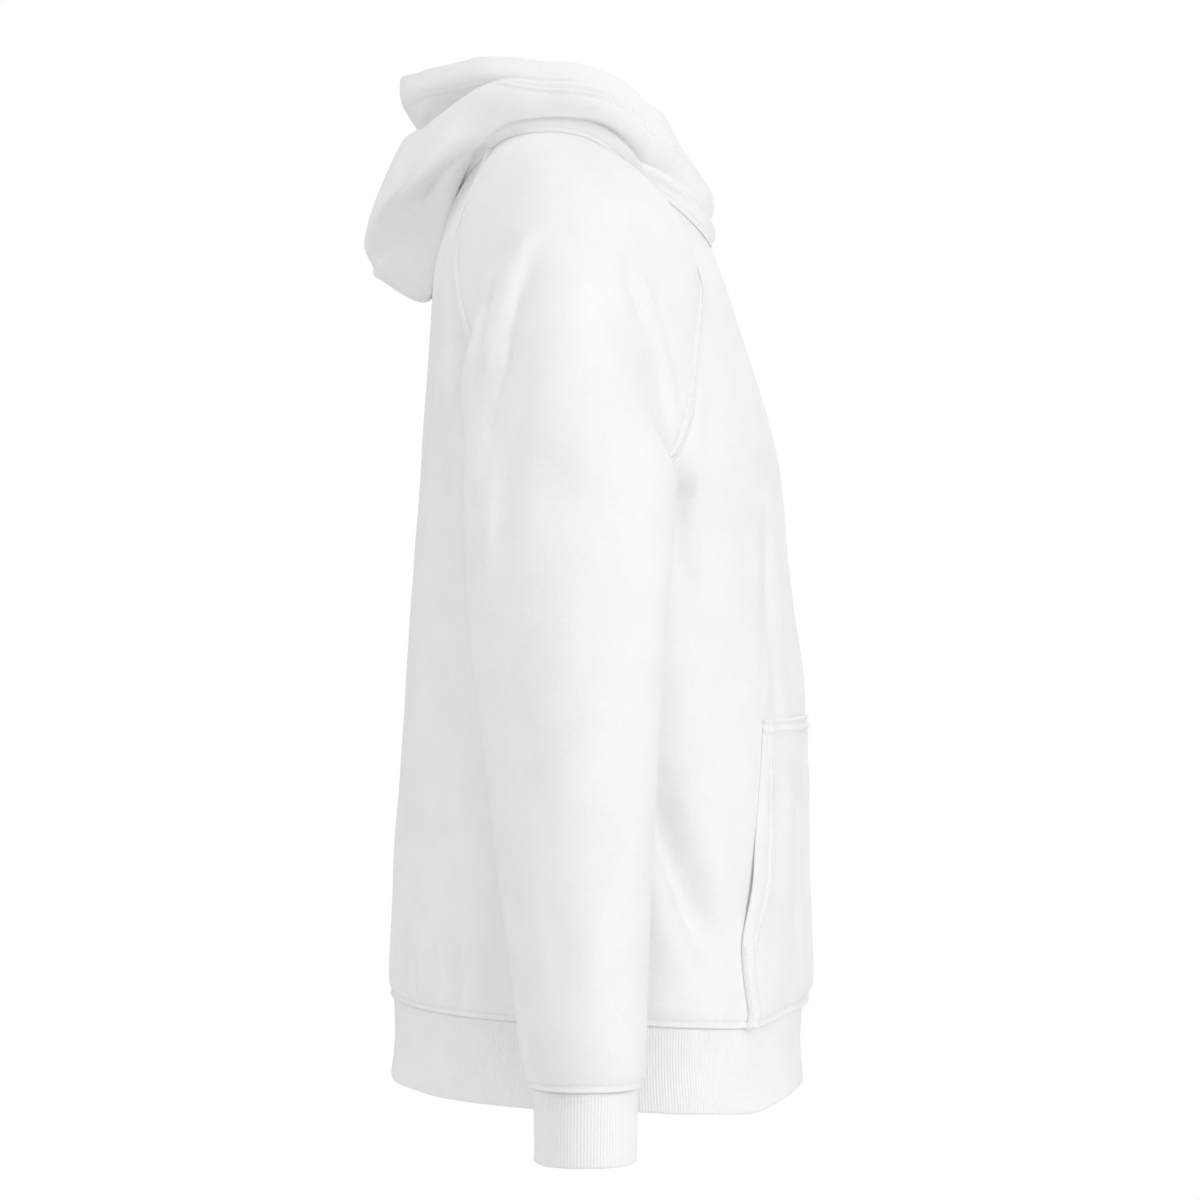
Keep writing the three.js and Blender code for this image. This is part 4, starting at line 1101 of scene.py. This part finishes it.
def make_sleeve(side, sign):
    grid = sleeve_grid() * np.array([-sign, 1, 1])
    front, back, cuff, neck = edges_of(grid)
    seam = np.minimum(front, back)
    edges = (seam, cuff, neck)
    grid, normals = folded(grid, row_axis, SLEEVE_FOLDS, faded(edges, SLEEVE_FADES["folds"]))
    free = faded(edges, SLEEVE_FADES["creases"])
    height = side_creases(grid, normals, SLEEVE_CREASES) * free
    height += unevenness(grid, UNEVEN["sleeve"]) * free
    height += seam_relief(seam, RAGLAN_HIGH) * above_underarm(grid)
    height += relief(cuff, HEM_PROFILE) + neck_furrow(neck, NECK_FURROW)
    edge_round = rounded(np.minimum.reduce(edges), SEAM_ROUND)
    node = "sleeve_" + side
    outer = cloth("sleeve_cloth_" + side, node, grid, normals, height, edge_round)
    rows = [("first_row", HEM_STITCHES, WHOLE), ("last_row", SEAM_STITCHES, SLEEVE_NECK_SPAN)]
    sew("sleeve_stitching_" + side, (grid, outer, normals), rows)


make_sleeve("right", -1)
make_sleeve("left", 1)


# Rib knit

def ring_points(rings, ups, count):
    """Closed rings of evenly spaced points, from centre front over the wearer's right."""
    shares = np.linspace(0, 1, 2 * FINE)
    front = ring_courses(rings, ups, "front", shares)
    back = ring_courses(rings, ups, "back", shares)[:, ::-1]
    right = np.concatenate([front, back[:, 1:]], axis=1)
    left = right[:, -2::-1] * np.array([-1, 1, 1])
    return spaced_rings(np.concatenate([right, left], axis=1), count)


def spaced_rings(rings, count):
    lengths = lengths_along(rings, 1)[:, -1]
    places = np.array([np.linspace(0, length, count + 1)[:-1] for length in lengths])
    return respaced(rings, places)


def cuff_points(ups, count):
    ring = row_at(CUFF_RINGS, "up", ups)
    turn = np.linspace(0, 2 * np.pi, 4 * FINE)[None, :]
    middle = (ring["front"] + ring["back"]) / 2
    arm = (ring["inner"] + ring["outer"]) / 2
    half_width = (ring["outer"] - ring["inner"]) / 2
    half_depth = (ring["back"] - ring["front"]) / 2
    x = -arm[:, None] - half_width[:, None] * np.cos(turn)
    y = middle[:, None] + half_depth[:, None] * np.sin(turn)
    z = np.broadcast_to(ups[:, None], x.shape)
    return spaced_rings(np.stack([x, y, z], axis=-1), count)


def ring_normals(rings):
    ahead = np.roll(rings, -1, axis=1) - np.roll(rings, 1, axis=1)
    normals = np.stack([ahead[..., 1], -ahead[..., 0], np.zeros(ahead.shape[:-1])], axis=-1)
    normals /= np.linalg.norm(normals, axis=-1, keepdims=True)
    if np.sum(normals * (rings - row_axis(rings))) < 0:
        normals = -normals
    return normals


def band_steps(seam, bottom):
    """Heights of a band's rows, closer together at its seam and round its folded lower edge."""
    top = seam - SEAM_GAP / 2
    return top - places_along([top - bottom], BAND_SPACING, True, True, BAND_STEPS)[0][::-1]


def make_band(name, node, rings, extra):
    normals = ring_normals(rings)
    up = rings[..., 2]
    below = up.max(axis=0) - up
    above = up - up.min(axis=0)
    edge = np.minimum(below, above)
    column = np.arange(rings.shape[1])[None, :]
    rib = 0.5 + 0.5 * np.cos(2 * np.pi * column / COLUMNS_PER_RIB)
    grown = smooth(edge / RIB_GROWS)
    at_seam = RIB_AT_SEAM * (1 - smooth(below / RIB_GROWS))
    height = extra - RIB_HEIGHT * (1 - np.maximum(rib * grown, at_seam))
    edge_round = np.minimum(rounded(below, SEAM_ROUND), rounded(above, BAND_ROUND))
    outer = rings + normals * (height + edge_round)[..., None]
    inner = rings + normals * (extra - RIB_WALL - edge_round)[..., None]
    piece = shell(name, outer, inner, knit_material(name + "_rib", **RIB_KNIT), closed=True)
    finished(piece, node)


def hem_extra(rings):
    up = rings[..., 2]
    height = 0.7 * np.sin(rings[..., 0] / 13 + 0.6 * np.sin(up / 9)) * smooth((up.max() - up) / 14)
    normals = ring_normals(rings)
    for pixels, out, wide, high in HEM_CREASES:
        line = seen_in_photo(pixels, out)
        facing = smooth(-normals[..., 0] / 0.3) * (rings[..., 0] < 0)
        height += facing * crease(rings[..., 1:], line, wide, high)
    return height


hem_ups = band_steps(HEM_SEAM_UP, HEM_UP)
hem_rings = ring_points(HEM_RINGS, hem_ups, HEM_RIBS * COLUMNS_PER_RIB)
make_band("hem_band_knit", "hem_band", hem_rings, hem_extra(hem_rings))
cuff_ups = band_steps(CUFF_SEAM_UP, CUFF_UP)
for side, sign in (("right", -1), ("left", 1)):
    cuff_rings = cuff_points(cuff_ups, CUFF_RIBS * COLUMNS_PER_RIB) * np.array([-sign, 1, 1])
    slack = 0.5 * np.sin(cuff_rings[..., 1] / 7 + cuff_rings[..., 2] / 12)
    make_band("cuff_knit_" + side, "cuff_" + side, cuff_rings, slack)


# Pocket

def make_pocket():
    base = pocket_base()
    normals = normals_of(base, body_axis(base))
    right, left, hem, top = edges_of(base)
    side = np.minimum(right, left)
    half = (right + left) / 2
    mouth = mouth_share(base)
    gape = bump_at(base[..., 2], MOUTH_GAPE["up"], MOUTH_GAPE["wide"], MOUTH_GAPE["high"])
    room = gape * smooth(1 - side / (half / 3))
    near = blended(POCKET_EDGE_GAP, POCKET_GAP, smooth(np.minimum(top, side) / 9))
    folds = large_folds(base, POCKET_FOLDS) * smooth(hem / 16) * smooth(top / 40)
    folds += large_folds(base, BODY_FOLDS) * smooth(hem / 16)
    grid = held_back(base + normals * (CLOTH + near + room + folds)[..., None])
    normals = normals_of(grid, body_axis(grid))
    free = smooth(top / 12) * smooth(hem / 9)
    height = side_creases(grid, normals, POCKET_CREASES) * free
    height += unevenness(grid, UNEVEN["pocket"]) * free * smooth(side / 12)
    height = np.maximum(height, -POCKET_GAP)
    cords = np.zeros(top.shape)
    for edge, weight in ((top, 1), (side, 1 - mouth)):
        for place in POCKET_CORDS:
            cords += relief(edge - place, CORD_PROFILE) * weight
    hand_hem = HAND_HEM["least"] + bump_at(base[..., 2], HAND_HEM["up"], HAND_HEM["wide"], HAND_HEM["more"])
    turned_in = bump_at(side, hand_hem / 2, hand_hem / 2, 0.7)
    cords += (turned_in + relief(side - hand_hem, HAND_HEM_PROFILE)) * mouth
    cords += relief(hem, HEM_PROFILE)
    free_edge = np.minimum(side, top)
    sewn_round = rounded(hem, SEAM_ROUND)
    thinned = 0.4 * CLOTH * smooth(1 - free_edge / 5)
    raised = np.maximum(cords, -0.5 * CLOTH) - thinned
    outer_round = np.minimum(rounded(free_edge, EDGE_ROUND), sewn_round)
    outer = cloth("pocket_cloth", "pocket", grid, normals, height + raised, outer_round, sewn_round,
                  CLOTH + raised)
    rows = [("last_row", offset, WHOLE) for offset in POCKET_CORDS]
    rows.append(("first_row", HEM_STITCHES, WHOLE))
    for edge, column in (("first_column", 0), ("last_column", -1)):
        rows.append((edge, hand_hem[:, column], MOUTH_STITCH_SPAN))
        rows += [(edge, offset, FOOT_STITCH_SPAN) for offset in POCKET_CORDS]
        rows += [(edge, offset, BARTACK_SPAN) for offset in BARTACK_ROWS]
    sew("pocket_stitching", (grid, outer, normals), rows)


make_pocket()


# Hood

def make_hood(side, sign, over):
    grid = hood_grid(over) * np.array([-sign, 1, 1])
    normals = normals_of(grid, neck_axis(grid))
    crossing, neck = lengths_along(grid, 0), lengths_along(grid, 1)
    centre_back = lengths_along(grid[::-1], 0)[::-1]
    rim = lengths_along(grid[:, ::-1], 1)[:, ::-1]
    grid = held_back(grid)
    free = smooth(neck / 10) * smooth(centre_back / 8)
    height = side_creases(grid, normals, HOOD_CREASES) * free
    height += unevenness(grid, UNEVEN["hood"]) * free * smooth(rim / 20)
    height += relief(rim, CASING_PROFILE) + seam_relief(centre_back, HOOD_SEAM_HIGH)
    height += neck_furrow(neck, HOOD_NECK_FURROW) + relief(crossing, FRONT_EDGE_PROFILE)
    edge_round = np.minimum(rounded(np.minimum(rim, crossing), EDGE_ROUND),
                            rounded(np.minimum(neck, centre_back), SEAM_ROUND))
    node = "hood_" + side
    outer = cloth("hood_cloth_" + side, node, grid, normals, height, edge_round)
    rows = [("last_column", offset, WHOLE) for offset in CASING_STITCHES]
    rows.append(("last_row", SEAM_STITCHES, WHOLE))
    rows.append(("first_row", FRONT_EDGE_STITCHES, FRONT_EDGE_SPAN))
    sew("hood_stitching_" + side, (grid, outer, normals), rows)


make_hood("right", -1, 1)
make_hood("left", 1, -1)


# Stage, light and camera

def add_floor(up, half):
    paint, _, shader = new_material("floor_paint")
    shader.inputs["Base Color"].default_value = (FLOOR_WHITE, FLOOR_WHITE, FLOOR_WHITE, 1)
    shader.inputs["Roughness"].default_value = 0.9
    corners = [(-half, -half, up), (half, -half, up), (half, half, up), (-half, half, up)]
    mesh = bpy.data.meshes.new("floor")
    mesh.from_pydata(corners, [], [(0, 1, 2, 3)])
    mesh.materials.append(paint)
    floor = in_scene("floor", mesh)


def add_lamp(name, place, aim, power):
    light = bpy.data.lights.new(name, "AREA")
    light.shape = "SQUARE"
    light.size = LAMP_SIZE
    light.energy = power
    lamp = in_scene(name, light)
    lamp.location = place
    way = np.array(aim) - np.array(place)
    level = math.hypot(way[0], way[1])
    lamp.rotation_euler = (math.atan2(level, -way[2]), 0, math.atan2(-way[0], way[1]))


def add_camera():
    camera = bpy.data.cameras.new("photo_view")
    camera.sensor_width = SENSOR
    camera.lens = SENSOR * VIEW_OUT / (VIEW_PIXEL * 2 * VIEW_CENTRE)
    holder = in_scene("photo_view", camera)
    holder.location = (-VIEW_OUT * MM, VIEW_FORE * MM, VIEW_UP * MM)
    holder.rotation_euler = (math.pi / 2, 0, -math.pi / 2)
    bpy.context.scene.camera = holder


def light_world(strength):
    """A white studio that is seen as plain white and lights the garment more softly."""
    world = bpy.data.worlds.new("white_studio")
    world.use_nodes = True
    tree = world.node_tree
    soft = tree.nodes["Background"]
    soft.inputs["Color"].default_value = (1, 1, 1, 1)
    soft.inputs["Strength"].default_value = strength
    seen = add_node(tree, "ShaderNodeBackground", {"Color": (1, 1, 1, 1), "Strength": 1.0})
    rays = add_node(tree, "ShaderNodeLightPath")
    chosen = add_node(tree, "ShaderNodeMixShader")
    tree.links.new(rays.outputs["Is Camera Ray"], chosen.inputs["Fac"])
    tree.links.new(soft.outputs["Background"], chosen.inputs[1])
    tree.links.new(seen.outputs["Background"], chosen.inputs[2])
    tree.links.new(chosen.outputs["Shader"], tree.nodes["World Output"].inputs["Surface"])
    bpy.context.scene.world = world


add_floor(FLOOR_UP, FLOOR_HALF)
light_world(WORLD_LIGHT)
for lamp_row in LAMPS:
    add_lamp(*lamp_row)
bpy.context.scene.view_settings.view_transform = "Standard"
add_camera()
